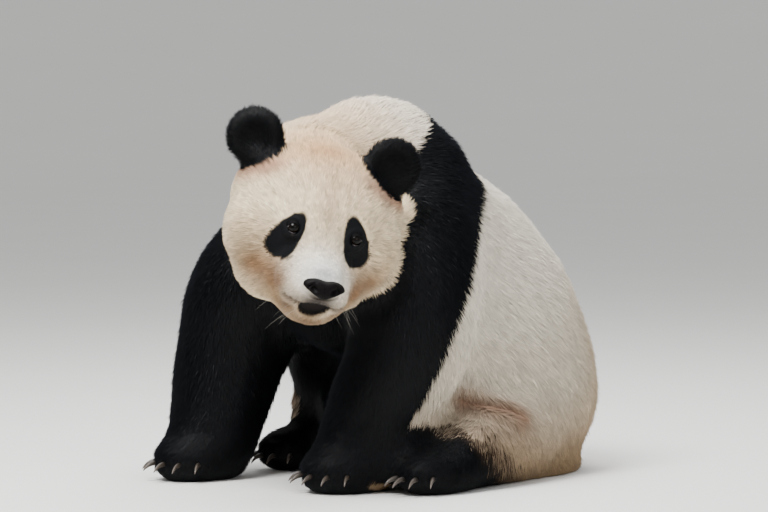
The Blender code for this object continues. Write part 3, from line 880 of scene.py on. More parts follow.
BODY_LIE = (
    ((0.00, -0.100, 0.660), (0.00, 1.00, 0.10)),
    ((0.00, 0.080, 0.710), (0.00, 1.00, -0.10)),
    ((0.00, 0.300, 0.560), (0.00, 0.80, -0.60)),
    ((0.00, 0.450, 0.300), (0.00, 0.30, -0.95)),
    ((0.20, 0.050, 0.520), (0.15, 0.70, -0.70)),
    ((0.28, 0.100, 0.330), (0.05, 0.60, -0.80)),
    ((0.25, 0.300, 0.250), (0.00, 0.45, -0.90)),
    ((0.30, 0.080, 0.120), (0.00, 0.25, -0.97)),
    ((0.24, -0.120, 0.430), (0.15, 0.25, -0.95)),
    ((0.26, -0.200, 0.330), (0.05, 0.05, -1.00)),
    ((0.20, -0.260, 0.200), (0.00, 0.05, -1.00)),
    ((0.20, -0.300, 0.060), (0.00, -0.55, -0.85)),
    ((0.00, -0.250, 0.350), (0.00, 0.10, -1.00)),
    ((0.00, 0.100, 0.200), (0.00, 1.00, -0.20)),
    ((0.12, -0.220, 0.200), (-0.1, 0.10, -1.00)),
    ((0.28, -0.130, 0.060), (0.05, -0.60, -0.80)),
    ((0.10, 0.350, 0.100), (0.00, 0.30, -0.95)),
)


def lie_of_hair(points, normals, areas):
    """Direction in which the hair lies: guides weighted by nearness, laid on the skin."""

    def blend(places, guides, reach):
        at = np.array([place for place, _ in guides])
        way = unit(np.array([direction for _, direction in guides]))
        far = np.sum((places[:, None] - at[None]) ** 2, axis=2) / reach**2
        weight = 1.0 / (far + 0.02) ** 2
        return unit((weight / weight.sum(axis=1, keepdims=True)) @ way)

    local, body = to_head(points), to_body(points)
    head = blend(twin(local), HEAD_LIE, 0.05)
    head[:, 0] *= np.sign(local[:, 0])
    trunk = blend(twin(body), BODY_LIE, 0.10)
    trunk[:, 0] *= np.sign(body[:, 0])
    near = fading(off_head(local), 1.02, 1.25)[:, None]
    way = head @ HEAD_AXES * near + trunk * (1.0 - near)
    ears = of_area(areas, "ear")
    root = np.where(local[:, :1] > 0.0, (0.030, 0.0, 0.045), (-0.030, 0.0, 0.045))
    way[ears] = unit((from_ear(local) + root) @ HEAD_AXES)[ears]
    way = way - normals * np.sum(way * normals, axis=1, keepdims=True)
    return unit(way + 1e-6)


class Roots:
    """Places on the skin where tufts grow, with all that is known there."""

    def __init__(self, skin, count_for, rng):
        skin.calc_loop_triangles()
        corners = read(skin.loop_triangles, "vertices", 3, np.int32)
        loops = read(skin.loop_triangles, "loops", 3, np.int32)
        points, normals = coordinates(skin), outward(skin)
        areas = read(skin.attributes["area"].data, "value", kind=np.int32)
        depth = read(skin.attributes["depth"].data, "value")
        maps = read(skin.uv_layers[BAKE_MAP].data, "uv", 2)
        a, b, c = (points[corners[:, i]] for i in range(3))
        extent = 0.5 * np.linalg.norm(np.cross(b - a, c - a), axis=1)
        density = count_for(points, normals, areas)[corners].mean(axis=1)
        total = np.cumsum(extent * density)
        count = int(total[-1])
        # one draw in each equal step of the running total keeps the roots even
        drawn = (np.arange(count) + rng.random(count)) * (total[-1] / count)
        face = np.minimum(np.searchsorted(total, drawn), len(total) - 1)
        share = rng.random((count, 2))
        over = share.sum(axis=1) > 1.0
        share[over] = 1.0 - share[over]
        weights = np.column_stack([1.0 - share.sum(axis=1), share])[:, :, None]
        nearest = np.argmax(weights[:, :, 0], axis=1)

        def at_roots(values, ends=corners):
            return (values[ends[face]] * weights).sum(axis=1)

        self.points = at_roots(points)
        self.normals = unit(at_roots(normals))
        self.areas = areas[corners[face, nearest]]
        self.depth = at_roots(depth[:, None])[:, 0]
        self.maps = at_roots(maps, loops)
        self.lie = lie_of_hair(self.points, self.normals, self.areas)


EYE_BARE_HALF = (0.01188, 0.0110)
NOSE_BARE_HALF = (0.037, 0.030, 0.016)


def bare(points, areas):
    """Where no hair grows: eyes, nose pad, lips."""
    local = to_head(points)
    eye = np.linalg.norm((twin(local) - EYE_PLACE)[:, ::2] / EYE_BARE_HALF, axis=1) < 1.0
    eye &= local[:, 1] < -0.07
    pad = np.linalg.norm((local - NOSE_PLACE) / NOSE_BARE_HALF, axis=1) < 1.0
    return (eye | pad | (mouth_share(local) > 0.4)) & of_area(areas, *HEAD_NODES)


def fineness(points, areas):
    """1 where the hair is shortest and finest, on muzzle and brow and round the eyes; 0 off the face."""
    local = twin(to_head(points))
    front = smooth_step(-local[:, 1], 0.070, 0.110) * fading(local[:, 0], 0.070, 0.105)
    front = front * smooth_step(local[:, 2], -0.150, -0.120) * fading(local[:, 2], 0.050, 0.090)
    return front * of_area(areas, *HEAD_NODES)


# tufts for each square metre
HEAD_TUFTS = 270_000
MUZZLE_TUFTS = 500_000
EAR_TUFTS = 300_000
LOOSE_HEAD_TUFTS = 9_000
LOOSE_CHEEK_TUFTS = 24_000
LOOSE_EAR_TUFTS = 90_000


def thinned(count, points, normals, areas):
    """Fewer tufts underneath, and none on bare skin or where the skin meets the floor."""
    under = smooth_step(-normals[:, 2], 0.2, 0.8) * ~of_area(areas, *HEAD_NODES)
    sole = (points[:, 2] < 0.006) & (normals[:, 2] < -0.5)
    return np.where(bare(points, areas) | sole, 0.0, count * (1.0 - 0.6 * under))


def fine_density(points, normals, areas):
    """Fine tufts for each square metre: dense on the face, thinner on the body, fewer underneath."""
    count = np.full(len(points), sizes().body_tufts)
    count[of_area(areas, *FEET)] *= 1.3
    count[of_area(areas, "ear")] = EAR_TUFTS
    face = HEAD_TUFTS + (MUZZLE_TUFTS - HEAD_TUFTS) * fineness(points, areas)
    count = np.where(of_area(areas, *HEAD_NODES), face, count)
    return thinned(count, points, normals, areas)


def loose_density(points, normals, areas):
    """Long loose tufts for each square metre: most on cheeks and ears, none on the face."""
    local = twin(to_head(points))
    count = np.full(len(points), sizes().loose_tufts)
    count[of_area(areas, *FEET)] *= 1.5
    cheek = smooth_step(local[:, 0], 0.075, 0.125) * fading(local[:, 2], 0.00, 0.08)
    cheek = np.maximum(cheek, smooth_step(-local[:, 2], 0.105, 0.140))
    face = LOOSE_HEAD_TUFTS + (LOOSE_CHEEK_TUFTS - LOOSE_HEAD_TUFTS) * cheek
    count = np.where(of_area(areas, *HEAD_NODES), face, count)
    count[of_area(areas, "ear")] = LOOSE_EAR_TUFTS
    count[fineness(points, areas) > 0.4] = 0.0
    return thinned(count, points, normals, areas)


def lock_of(places, rng, every):
    """For each tuft the number of the tuft that leads its lock; there is one leader in every so many."""
    leaders = rng.choice(len(places), max(1, len(places) // every), replace=False)
    tree = KDTree(len(leaders))
    for number, leader in enumerate(leaders):
        tree.insert(Vector(places[leader]), number)
    tree.balance()
    return leaders[[tree.find(Vector(place))[1] for place in places]]


def drawn_together(places, tips, leader, share):
    """Moves each tuft's tip by share towards its lock's own tip."""
    near = np.linalg.norm(places[leader] - places, axis=1) < LOCK_REACH
    goal = tips[leader] + (places - places[leader]) * 0.25
    return tips + (goal - tips) * (share * near)[:, None]


# Two styles of tuft. lift is the angle off the skin in degrees, and loose_lift what the cheeks add to it.
# outer is the share of the lift that the outer half keeps, and drop that of the tuft as a whole. trim
# scales the length, and longest is its limit on the head. fade is the brightness past the root, painted
# light that grows towards the tip against the painted shade at the root, and spots are the points'
# places on the tuft's patch of the bake's map.
FINE = {
    "triangles": 4, "lift": 21.0, "loose_lift": 7.0, "outer": 1.0, "drop": 1.0,
    "trim": 0.95, "longest": 0.018, "fade": (1.05,),
    "spots": ((0, 0), (1, 0), (0.5, 0.3), (0.5, 1)),
}
BENT = {
    "triangles": 10, "lift": 29.0, "loose_lift": 2.0, "outer": 0.35, "drop": 0.74,
    "trim": 1.05, "longest": 0.021, "fade": (0.97, 0.97, 0.97, 1.06),
    "spots": ((0, 0), (1, 0), (0.5, 0.2), (0.1, 0.5), (0.9, 0.5), (0.5, 0.65), (0.5, 1)),
}


def tuft_shapes(roots, rng, style, leader):
    """Root, middle and tip of each tuft, and the direction of its broad side.

    A tuft leaves the skin at an angle along the lie of the coat, and a bent one turns down again half
    way. Its length makes its tip stand as high above the skin as the coat is deep.
    """
    count = len(roots.points)
    local = to_head(roots.points)
    head = fading(off_head(local), 1.05, 1.20)
    cheek = smooth_step(np.abs(local[:, 0]), 0.08, 0.13) * fading(local[:, 2], 0.0, 0.06)
    loose = head * np.maximum(cheek, smooth_step(-local[:, 2], 0.12, 0.15))
    ears = of_area(roots.areas, "ear")
    middle_lift = np.where(ears, EAR_LIFT, style["lift"] + style["loose_lift"] * loose)
    lift = np.radians(np.clip(middle_lift + (5.0 + 6.0 * ears) * rng.standard_normal(count), 9.0, 78.0))
    spin = 6.0 * rng.standard_normal(count) + 6.0 * ripple(roots.points, 0.05)
    turn = np.radians(spin + 5.0 * ripple(roots.points + 0.3, 0.018))
    across = np.cross(roots.lie, roots.normals)
    way = roots.lie * np.cos(turn)[:, None] + across * np.sin(turn)[:, None]
    side = unit(np.cross(way, roots.normals))
    depth = np.where(ears, EAR_STAND, np.maximum(roots.depth, THINNEST_COAT))
    rise = np.sin(np.radians(middle_lift) * style["drop"])
    length = depth / rise * (0.70 + 0.42 * rng.random(count))
    length = np.where(ears, length * (0.60 + 0.75 * rng.random(count)), length)
    length = np.where((head > 0.5) & ~ears, np.minimum(length, style["longest"]), length)
    length = np.minimum(length * style["trim"], LONGEST_TUFT)
    patch = fading(eye_patch(local), 1.0, 1.25)
    length = length * (1.0 - 0.60 * patch * head)
    start = roots.points - roots.normals * ROOT_DEPTH

    def reach(angle, part):
        flat = way * np.cos(angle)[:, None] + roots.normals * np.sin(angle)[:, None]
        return flat * (length * part)[:, None]

    half = start + reach(lift, 0.5)
    tip = half + reach(lift * style["outer"], 0.5)
    tip = drawn_together(roots.points, tip, leader, 0.25 - 0.07 * head)
    for ends in (half, tip):
        ends[:, 2] = np.maximum(ends[:, 2], OFF_FLOOR)
    return start, half, tip, side


def tuft_mesh(name, roots, chosen, shape, width, colour, style, gloom):
    """One mesh of tufts, each a three-sided blade that narrows to its tip.

    A bent tuft has rings of three points at its root and middle and one point at its tip, ten
    triangles; a short one has a root ring and a tip, four. Its shading normals lean to the skin's, so
    that the coat takes the light as one soft form.
    """
    start, half, tip, side = (part[chosen] for part in shape)
    normals = roots.normals[chosen]
    bent = style is BENT
    way = unit(half - start)
    rise = unit(np.cross(side, way))
    wide = width[chosen][:, None]
    section = ((-0.5, -0.15), (0.5, -0.15), (0.0, 0.45))  # out to the side and up, for a width of 1
    layers, leans = [], []
    rings = ((start, 1.0), (half, 0.78)) if bent else ((start, 1.0),)
    for centre, thick in rings:
        for out, up in section:
            offset = side * out + rise * up
            layers.append(centre + offset * wide * thick)
            leans.append(unit(normals * 0.85 + unit(offset) * 0.50))
    layers.append(tip)
    leans.append(unit(normals * 0.9 + unit(tip - half) * 0.3))
    each = len(layers)
    points = np.stack(layers, axis=1).reshape(-1, 3)
    lean = np.stack(leans, axis=1).reshape(-1, 3)
    faces = [(0, 2, 1)]
    if bent:
        for i in range(3):
            j = (i + 1) % 3
            faces += [(i, j, 3 + j), (i, 3 + j, 3 + i), (3 + i, 3 + j, 6)]
    else:
        faces += [(0, 1, 3), (1, 2, 3), (2, 0, 3)]
    one = np.array(faces)[:, ::-1]
    triangles = (np.arange(len(start))[:, None, None] * each + one[None]).reshape(-1, 3)
    mesh = fill_mesh(name, points, triangles)
    # markings, with painted shade at the root where the coat shades itself, and painted light towards the
    # tip
    fade = np.array((gloom, gloom, gloom, *style["fade"]))
    paint(mesh, (colour[chosen][:, None] * fade[None, :, None]).reshape(-1, 3))
    # the bake's map: each tuft keeps to a small patch at its root's place on the skin's unwrap
    patch = roots.maps[chosen][:, None] + (np.array(style["spots"])[None] - 0.5) * BAKE_PATCH
    patch = np.clip(patch, 0.0, 1.0).reshape(-1, 2)
    layer = mesh.uv_layers.new(name=BAKE_MAP)
    layer.data.foreach_set("uv", patch[triangles.ravel()].astype(np.float32).ravel())
    mesh.normals_split_custom_set_from_vertices(lean.astype(np.float32))
    return mesh


GROUPS = (
    ("head", HEAD_NODES),
    ("ears", ("ear",)),
    ("nape", ("neck",)),
    ("trunk", ("trunk", "tail")),
    ("forelegs", ("foreleg",)),
    ("hind_legs", ("hindleg",)),
)


def grow_coat(skin, rng, density, width, style, label, pale, dark):
    """Grows one kind of tuft all over and shows it in pieces by area and colour."""
    roots = Roots(skin, density, rng)
    count = len(roots.points)
    share_black = blackness(roots.points, roots.areas)
    black = share_black > rng.random(count)
    leader = lock_of(roots.points, rng, TUFTS_TO_A_LOCK)
    colour = pale_coat(roots.points)
    strong = np.where(of_area(roots.areas, *HEAD_NODES), 0.14, 0.09)
    mood = 0.07 * rng.standard_normal(count) + strong * rng.standard_normal(count)[leader]
    colour = colour * (1.0 + mood + 0.04 * ripple(roots.points, 0.03))[:, None]
    night = tone(colours().black) * (0.8 + 0.7 * rng.random(count))[:, None]
    night = night * (1.0 - 0.5 * of_area(roots.areas, "ear"))[:, None]
    # where the two meet on a leg the hairs are brown
    meeting = (4.0 * share_black * (1.0 - share_black) * of_area(roots.areas, "hindleg"))[:, None]
    colour = np.clip(np.where(black[:, None], night, colour), 0.0, 0.95)
    colour = colour * (1.0 - 0.6 * meeting) + tone("#4A3A2B") * 0.6 * meeting
    shape = tuft_shapes(roots, rng, style, leader)
    span = width * (0.75 + 0.5 * rng.random(count)) * np.clip(roots.depth / 0.0095, 0.55, 1.0)
    for group, starts in GROUPS:
        for shade, mask, material, slot, gloom in (
            ("white", ~black, pale, "coat_white", 0.87),
            ("black", black, dark, "coat_black", 0.85),
        ):
            chosen = np.flatnonzero(of_area(roots.areas, *starts) & mask)
            if len(chosen) < FEWEST_TUFTS:
                continue
            pieces = math.ceil(len(chosen) * style["triangles"] / MOST_TRIANGLES)
            # pieces part from left to right
            chosen = chosen[np.argsort(roots.points[chosen, 0], kind="stable")]
            for number, part in enumerate(np.array_split(chosen, pieces)):
                name = f"{label}_{shade}_{group}" + (f"_{number + 1}" if pieces > 1 else "")
                mesh = tuft_mesh(name, roots, part, shape, span, colour, style, gloom)
                show(name, mesh, material)


# ---- eyes
CORNEA_RISE, CORNEA_REACH = 0.07, 0.42  # share of the radius, and radians off the gaze
OPENING_HALF = (0.0096, 0.0084)  # of the lids, across and up
LID_BREADTH, LID_THICKNESS, LID_SLOPE = 0.0065, 0.0010, 0.90


def eye_axes(out):
    """Middle of an eyeball and its own axes in the world: sideways, forward along the gaze, up."""
    gaze = unit(np.array((0.16 * out, -1.0, -0.02)))  # a little outward and down
    side = unit(np.cross(gaze, (0.0, 0.0, 1.0)))
    up = np.cross(side, gaze)
    centre = from_head(EYE_PLACE * (out, 1.0, 1.0))
    return centre, np.stack([side, gaze, up]) @ HEAD_AXES


def eyeball_mesh(name, out, radius):
    """A ball round the gaze, whose radius grows by a bell towards the gaze for the cornea."""
    rows, columns = 40, 48
    along, turn = parameters(rows, columns)
    angle = math.pi * along
    reach = radius * (1.0 + CORNEA_RISE * bell(angle, CORNEA_REACH))
    ring = reach * np.sin(angle)
    ahead = reach * np.cos(angle) + 0 * turn
    local = np.stack([ring * np.cos(turn), ahead, ring * np.sin(turn)], -1)
    centre, axes = eye_axes(out)
    mesh = fill_mesh(name, centre + local.reshape(-1, 3) @ axes, grid_triangles(rows, columns))
    # how far off the gaze each point lies, for the iris
    note(mesh, "off_gaze", angle + 0 * turn)
    return weld(mesh)


def eye_material():
    """A wet eye: black pupil, dark brown iris with fine spokes, dark rim, under a glossy cornea."""
    surface = {"Roughness": 0.06, "IOR": 1.376, "Specular IOR Level": 0.22}  # the IOR of a cornea
    material, tree, shader, place = new_material("wet_eye", surface)
    off = add_node(tree, "ShaderNodeAttribute", {"attribute_name": "off_gaze"}).outputs["Fac"]
    spokes = add_node(
        tree, "ShaderNodeTexNoise", {"Scale": 1 / (0.9 * MM), "Detail": 2.0}, {"Vector": place}
    )
    wobble = add_node(tree, "ShaderNodeMapRange", {"To Min": -0.05, "To Max": 0.05}, {"Value": spokes})
    at = add_node(tree, "ShaderNodeMath", {"operation": "ADD"}, {0: off, 1: wobble})
    ramp = add_node(tree, "ShaderNodeValToRGB", {}, {"Fac": at})
    middle_stops = (
        (0.36, "#020101"),
        (0.44, "#0D0805"),
        (0.66, "#0A0603"),
        (0.76, "#040303"),
        (0.88, "#0A0706"),
    )
    band = ramp.color_ramp.elements
    band[0].color = linear("#010101")
    band[1].color = linear("#2A2320")
    for position, code in middle_stops:
        band.new(position).color = linear(code)
    join(tree, shader, {"Base Color": ramp})
    return material


def lids_mesh(name, out, radius):
    """Both lids of one eye: a profile carried round the almond of the opening.

    From inside the opening it rolls over the lid's edge, follows the ball and sinks under the skin.
    """
    rows, columns = 16, 72
    along, turn = parameters(rows, columns)
    wide, tall = OPENING_HALF
    opening = 1.0 / np.sqrt((np.cos(turn) / wide) ** 2 + (np.sin(turn) / tall) ** 2)
    # the corner towards the nose is drawn out
    inner = np.exp((np.cos(turn - math.pi * (0.5 + 0.5 * out) - 0.35 * out) - 1.0) / 0.035)
    opening = opening * (1.0 + 0.24 * inner)
    off_axis = opening + LID_BREADTH * along
    shell = radius + 0.0002 + LID_THICKNESS * smooth_step(along, 0.0, 0.22)
    bend = np.minimum(off_axis, shell * LID_SLOPE)
    height = np.sqrt(shell**2 - bend**2) - LID_SLOPE * (off_axis - bend)
    local = np.stack([off_axis * np.cos(turn), height, off_axis * np.sin(turn)], -1)
    centre, axes = eye_axes(out)
    mesh = fill_mesh(name, centre + local.reshape(-1, 3) @ axes, grid_triangles(rows, columns)[:, ::-1])
    # the wet margin of the lower lid, palest to the outside
    outer = np.cos(turn - math.pi * 1.5 + 0.65 * out)
    note(mesh, "margin", bell(along, 0.13) * smooth_step(outer, 0.15, 0.80))
    return mesh


def lid_material():
    """Bare black lid skin: a pale moist rim below, and fine wrinkles 0.6 mm apart."""
    surface = {"Roughness": 0.65, "Specular IOR Level": 0.06}
    material, tree, shader, place = new_material("moist_lid_skin", surface)
    grain = add_node(tree, "ShaderNodeTexNoise", {"Scale": 1 / (0.6 * MM), "Detail": 3.0}, {"Vector": place})
    margin = add_node(tree, "ShaderNodeAttribute", {"attribute_name": "margin"}).outputs["Fac"]
    blacks = {"Color1": linear("#030304"), "Color2": linear("#08080A")}
    dark = add_node(tree, "ShaderNodeMixRGB", blacks, {"Fac": grain})
    colour = add_node(
        tree, "ShaderNodeMixRGB", {"Color2": linear("#8F878A")}, {"Fac": margin, "Color1": dark}
    )
    bump = add_node(tree, "ShaderNodeBump", {"Strength": 0.5, "Distance": 0.4 * MM}, {"Height": grain})
    join(tree, shader, {"Base Color": colour, "Normal": bump})
    return material


# ---- nose
NOSE_HALF = (0.0390, 0.0150, 0.0170)
NOSTRIL_OUT, SLIT_OUT = 0.0185, 0.0265  # from the nose's middle


def nose_mesh():
    """The nose pad: a domed shield, widest near its top, drawn to a blunt point below, with nostrils.

    Round its rim the outline is an ellipse narrowed downward and dipped at the top's middle; from the rim
    to the front pole it swells as a rounded dome, and each nostril is a comma-shaped bell pushed in.
    """
    rows, columns = 64, 96
    along, turn = parameters(rows, columns)
    lobe = np.sin(math.pi * along)  # 0 at both poles, 1 at the rim
    spread_out = np.clip(lobe, 0.0, 1.0) ** 0.85
    depth = np.cos(math.pi * along)
    x = NOSE_HALF[0] * spread_out * np.sign(np.cos(turn)) * np.abs(np.cos(turn)) ** 0.75
    z = NOSE_HALF[2] * spread_out * np.sin(turn)
    low = np.maximum(-z / NOSE_HALF[2], 0.0)
    x = x * (1.0 - 0.66 * low**1.1)
    z = z - 0.0030 * bell(x, 0.010) * np.clip(z / NOSE_HALF[2], 0, 1)
    z = z + 0.0016 * (np.abs(x) / NOSE_HALF[0]) ** 2
    front = np.sign(depth) * np.abs(depth) ** 0.75
    y = -NOSE_HALF[1] * np.where(front > 0, front, 0.5 * front) * np.ones_like(turn)
    # the pad leans back towards its top and wraps round the muzzle at its sides
    y = y + 0.24 * z + 4.5 * x**2
    away = np.abs(x)
    hole = bell(away - NOSTRIL_OUT - 0.30 * z, 0.0062) * bell(z + 0.0005, 0.0052)
    slit = bell(away - SLIT_OUT, 0.0065) * bell(z - 0.0025 + 0.9 * (away - SLIT_OUT), 0.0022)
    groove = bell(x, 0.0014) * (z < 0.004)
    y = y + (front > 0.05) * (0.0085 * hole + 0.0045 * slit + 0.0016 * groove)
    local = np.stack([x, y, z], -1).reshape(-1, 3) + NOSE_PLACE + (0.0025, 0.0, 0.0005)
    mesh = fill_mesh("nose_pad", from_head(local), grid_triangles(rows, columns)[:, ::-1])
    return weld(mesh)


def nose_material():
    """Bare, moist nose leather: near black, a pebble pattern 1.3 mm apart, with a wet gloss."""
    surface = {"Roughness": 0.48, "IOR": 1.45, "Specular IOR Level": 0.09}
    material, tree, shader, place = new_material("moist_nose_leather", surface)
    cells = add_node(tree, "ShaderNodeTexVoronoi", {"Scale": 1 / (1.3 * MM)}, {"Vector": place})
    cloud = add_node(tree, "ShaderNodeTexNoise", {"Scale": 1 / (9 * MM), "Detail": 2.0}, {"Vector": place})
    blacks = {"Color1": linear("#030202"), "Color2": linear("#0C0808")}
    colour = add_node(tree, "ShaderNodeMixRGB", blacks, {"Fac": cloud})
    pebbles = {"Strength": 0.5, "Distance": 0.4 * MM, "invert": True}
    bump = add_node(tree, "ShaderNodeBump", pebbles, {"Height": cells})
    join(tree, shader, {"Base Color": colour, "Normal": bump})
    return material


# ---- claws
CLAW_HALF = (0.0042, 0.0054)  # half its width and half its height at the root
CLAW_ARCH = 0.13  # rise of its middle line, as a share of its length


def claw_ends(node):
    """Root and tip of a claw, read from its solid: its ends lie furthest along its main axis."""
    points = coordinates(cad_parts[node].data)
    centre = points.mean(axis=0)
    _, _, axes = np.linalg.svd(points - centre, full_matrices=False)
    along = axes[0] if axes[0][2] < 0 else -axes[0]
    far = (points - centre) @ along
    root = points[far < far.min() + 0.004].mean(axis=0)
    return root, points[np.argmax(far)]


def claw_mesh(node):
    """A claw of horn: oval rings along a bent line, narrowing to a blunt tip.

    The line is a parabola from root to tip, raised in its middle; the section is higher than wide.
    """
    rows, columns = 18, 16
    along, turn = parameters(rows, columns)
    root, tip = claw_ends(node)
    way = tip - root
    across = unit(np.cross(way, UP))
    rise = unit(np.cross(across, way))
    line = root + along * way + (4 * along * (1 - along)) * CLAW_ARCH * np.linalg.norm(way) * rise
    thick = np.sqrt(np.clip(1.0 - along**2.4, 0.0, 1.0)) * (1.0 - 0.45 * along)
    wide, high = CLAW_HALF[0] * thick * np.cos(turn), CLAW_HALF[1] * thick * np.sin(turn)
    ring = across * wide[..., None] + rise * high[..., None]
    points = (line[:, None] + ring).reshape(-1, 3)
    points[:, 2] = np.maximum(points[:, 2], 0.0)
    last = np.arange(2, columns)
    cap = np.stack([0 * last, last, last - 1], -1)
    mesh = fill_mesh(node + "_horn", points, np.concatenate([grid_triangles(rows, columns), cap]))
    weld(mesh)
    note(mesh, "along", np.clip((coordinates(mesh) - root) @ way / (way @ way), 0, 1))
    return mesh


def claw_material():
    """Keratin horn, worn pale at the tip: a fine mottle 0.8 mm across and a dull polish."""
    surface = {"Roughness": 0.34, "IOR": 1.54}
    material, tree, shader, place = new_material("worn_claw_horn", surface)
    along = add_node(tree, "ShaderNodeAttribute", {"attribute_name": "along"}).outputs["Fac"]
    mottle = add_node(
        tree, "ShaderNodeTexNoise", {"Scale": 1 / (0.8 * MM), "Detail": 2.0}, {"Vector": place}
    )
    ends = {"Color1": linear("#1E1916"), "Color2": linear("#5E5349")}
    horn = add_node(tree, "ShaderNodeMixRGB", ends, {"Fac": along})
    worn = add_node(
        tree,
        "ShaderNodeMixRGB",
        {"blend_type": "MULTIPLY", "Fac": 0.35},
        {"Color1": horn, "Color2": mottle},
    )
    bump = add_node(tree, "ShaderNodeBump", {"Strength": 0.3, "Distance": 0.3 * MM}, {"Height": mottle})
    join(tree, shader, {"Base Color": worn, "Normal": bump})
    return material


# ---- whiskers
WHISKER_RADIUS = 0.00016
WHISKER_DROOP = 0.16  # how far the tip hangs, as a share of its length


def whisker_mesh(rng):
    """Long stiff hairs beside the mouth and on the chin: three-sided tapering tubes on a drooping line."""
    count, steps = 14, 7
    side = np.where(np.arange(count) % 2, 1.0, -1.0)
    across = (0.030 + 0.055 * rng.random(count)) * side
    high = -0.100 - 0.050 * rng.random(count)
    tree = BVHTree.FromObject(bpy.data.objects["skin"], bpy.context.evaluated_depsgraph_get())
    ahead = [Vector(from_head((x, -0.4, z))) for x, z in zip(across, high)]
    start = np.array([tree.ray_cast(place, Vector(HEAD_AXES[1]))[0] for place in ahead])
    outward_part = side * (0.45 + 0.35 * rng.random(count))
    back_part = 0.10 + 0.35 * rng.random(count)
    up_part = -0.80 + 0.25 * rng.random(count)
    way = unit(np.stack([outward_part, back_part, up_part], -1)) @ HEAD_AXES
    length = sizes().whisker_length * (0.45 + 0.55 * rng.random(count))
    along = np.linspace(0.0, 1.0, steps)
    line = start[:, None] + way[:, None] * (length[:, None] * along)[..., None]
    line[..., 2] -= WHISKER_DROOP * length[:, None] * along**2
    first = unit(np.cross(way, UP))
    second = np.cross(first, way)
    thick = WHISKER_RADIUS * (1.0 - 0.85 * along)
    rings = []
    for corner in range(3):
        angle = corner * 2 * math.pi / 3
        off = first * math.cos(angle) + second * math.sin(angle)
        rings.append(line + off[:, None] * thick[None, :, None])
    points = np.stack(rings, axis=2).reshape(-1, 3)
    ends = np.array(((0, 2, 1), (0, 1, 2))) + ((0,), (3 * (steps - 1),))
    one = np.concatenate([grid_triangles(steps, 3), ends])
    triangles = (np.arange(count)[:, None, None] * steps * 3 + one[None]).reshape(-1, 3)
    return weld(fill_mesh("whiskers", points, triangles), 1e-7)


def whisker_material():
    """Stiff white guard hair: smooth keratin with a soft shine, greyer in some places than in others."""
    material, tree, shader, place = new_material("stiff_white_hair", {"Roughness": 0.35})
    cloud = add_node(tree, "ShaderNodeTexNoise", {"Scale": 1 / (6 * MM)}, {"Vector": place})
    whites = {"Color1": linear("#B9AF9F"), "Color2": linear("#E4DED2")}
    colour = add_node(tree, "ShaderNodeMixRGB", whites, {"Fac": cloud})
    join(tree, shader, {"Base Color": colour})
    return material


# ---- operators
class PANDA_OT_skin(bpy.types.Operator):
    """Makes the one skin that replaces the nodes of flesh"""

    bl_idname = "panda.skin"
    bl_label = "Skin"

    def execute(self, context):
        mesh = make_skin()
        unwrap(mesh)
        smooth(mesh)
        areas = read(mesh.attributes["area"].data, "value", kind=np.int32)
        paint(mesh, skin_colour(coordinates(mesh), areas))
        show("skin", mesh, skin_material(), FLESH)
        return {"FINISHED"}


class PANDA_OT_coat(bpy.types.Operator):
    """Grows the coat: fine tufts all over, and long loose ones away from the face"""

    bl_idname = "panda.coat"
    bl_label = "Coat"

    def execute(self, context):
        # white hair scatters light and looks matt; black hair keeps a cool shine along the tufts
        pale = fur_material("white_guard_hair", 0.78, 0.30, 0.12, linear("#FFF8EA"), 0.12)
        dark = fur_material("black_guard_hair", 0.48, 0.10, 0.02, linear("#8FA0BE"), 0.20)
        skin = bpy.data.objects["skin"].data
        rng = np.random.default_rng(sizes().seed)
        width = sizes().tuft_width
        grow_coat(skin, rng, fine_density, width, FINE, "coat", pale, dark)
        grow_coat(skin, rng, loose_density, width * 1.15, BENT, "loose_coat", pale, dark)
        return {"FINISHED"}


class PANDA_OT_eyes(bpy.types.Operator):
    """Makes the eyeballs and their lids"""

    bl_idname = "panda.eyes"
    bl_label = "Eyes and lids"

    def execute(self, context):
        wet, lid = eye_material(), lid_material()
        for side, out in SIDES.items():
            radius = sizes().eye_radius
            ball, lids = f"eyeball_{side}", f"eyelids_{side}"
            show(ball, eyeball_mesh(ball, out, radius), wet, [f"eye_{side}"])
            show(lids, lids_mesh(lids, out, radius), lid)
        return {"FINISHED"}


class PANDA_OT_nose(bpy.types.Operator):
    """Makes the bare nose pad"""

    bl_idname = "panda.nose"
    bl_label = "Nose pad"

    def execute(self, context):
        show("nose_pad", nose_mesh(), nose_material(), ["nose"])
        return {"FINISHED"}


class PANDA_OT_claws(bpy.types.Operator):
    """Makes the twenty claws"""

    bl_idname = "panda.claws"
    bl_label = "Claws"

    def execute(self, context):
        horn = claw_material()
        for node in CLAWS:
            show(node + "_horn", claw_mesh(node), horn, [node])
        return {"FINISHED"}


class PANDA_OT_whiskers(bpy.types.Operator):
    """Makes the whiskers"""

    bl_idname = "panda.whiskers"
    bl_label = "Whiskers"

    def execute(self, context):
        rng = np.random.default_rng(sizes().seed + 5)
        show("whiskers", whisker_mesh(rng), whisker_material())
        return {"FINISHED"}


class PANDA_OT_stage(bpy.types.Operator):
    """Sets the pale floor, the soft lights and the camera"""

    bl_idname = "panda.stage"
    bl_label = "Stage"

    def execute(self, context):
        make_floor()
        make_lights()
        make_camera()
        return {"FINISHED"}


# ---- stage
CAMERA_AZIMUTH = math.radians(45.0)  # round from straight ahead to the panda's left
CAMERA_HEIGHT_ANGLE = math.radians(3.0)
CAMERA_DISTANCE = 7.5
VIEW_WIDTH = 1.4208  # metres across the view at the panda
FLAT_REACH, FLOOR_REACH, RIM_RISE = 15.0, 34.0, 9.0
SENSOR = 36.0
AIM = Vector(HEAD_ORIGIN + (-0.0110, 0.1911, -0.0645))


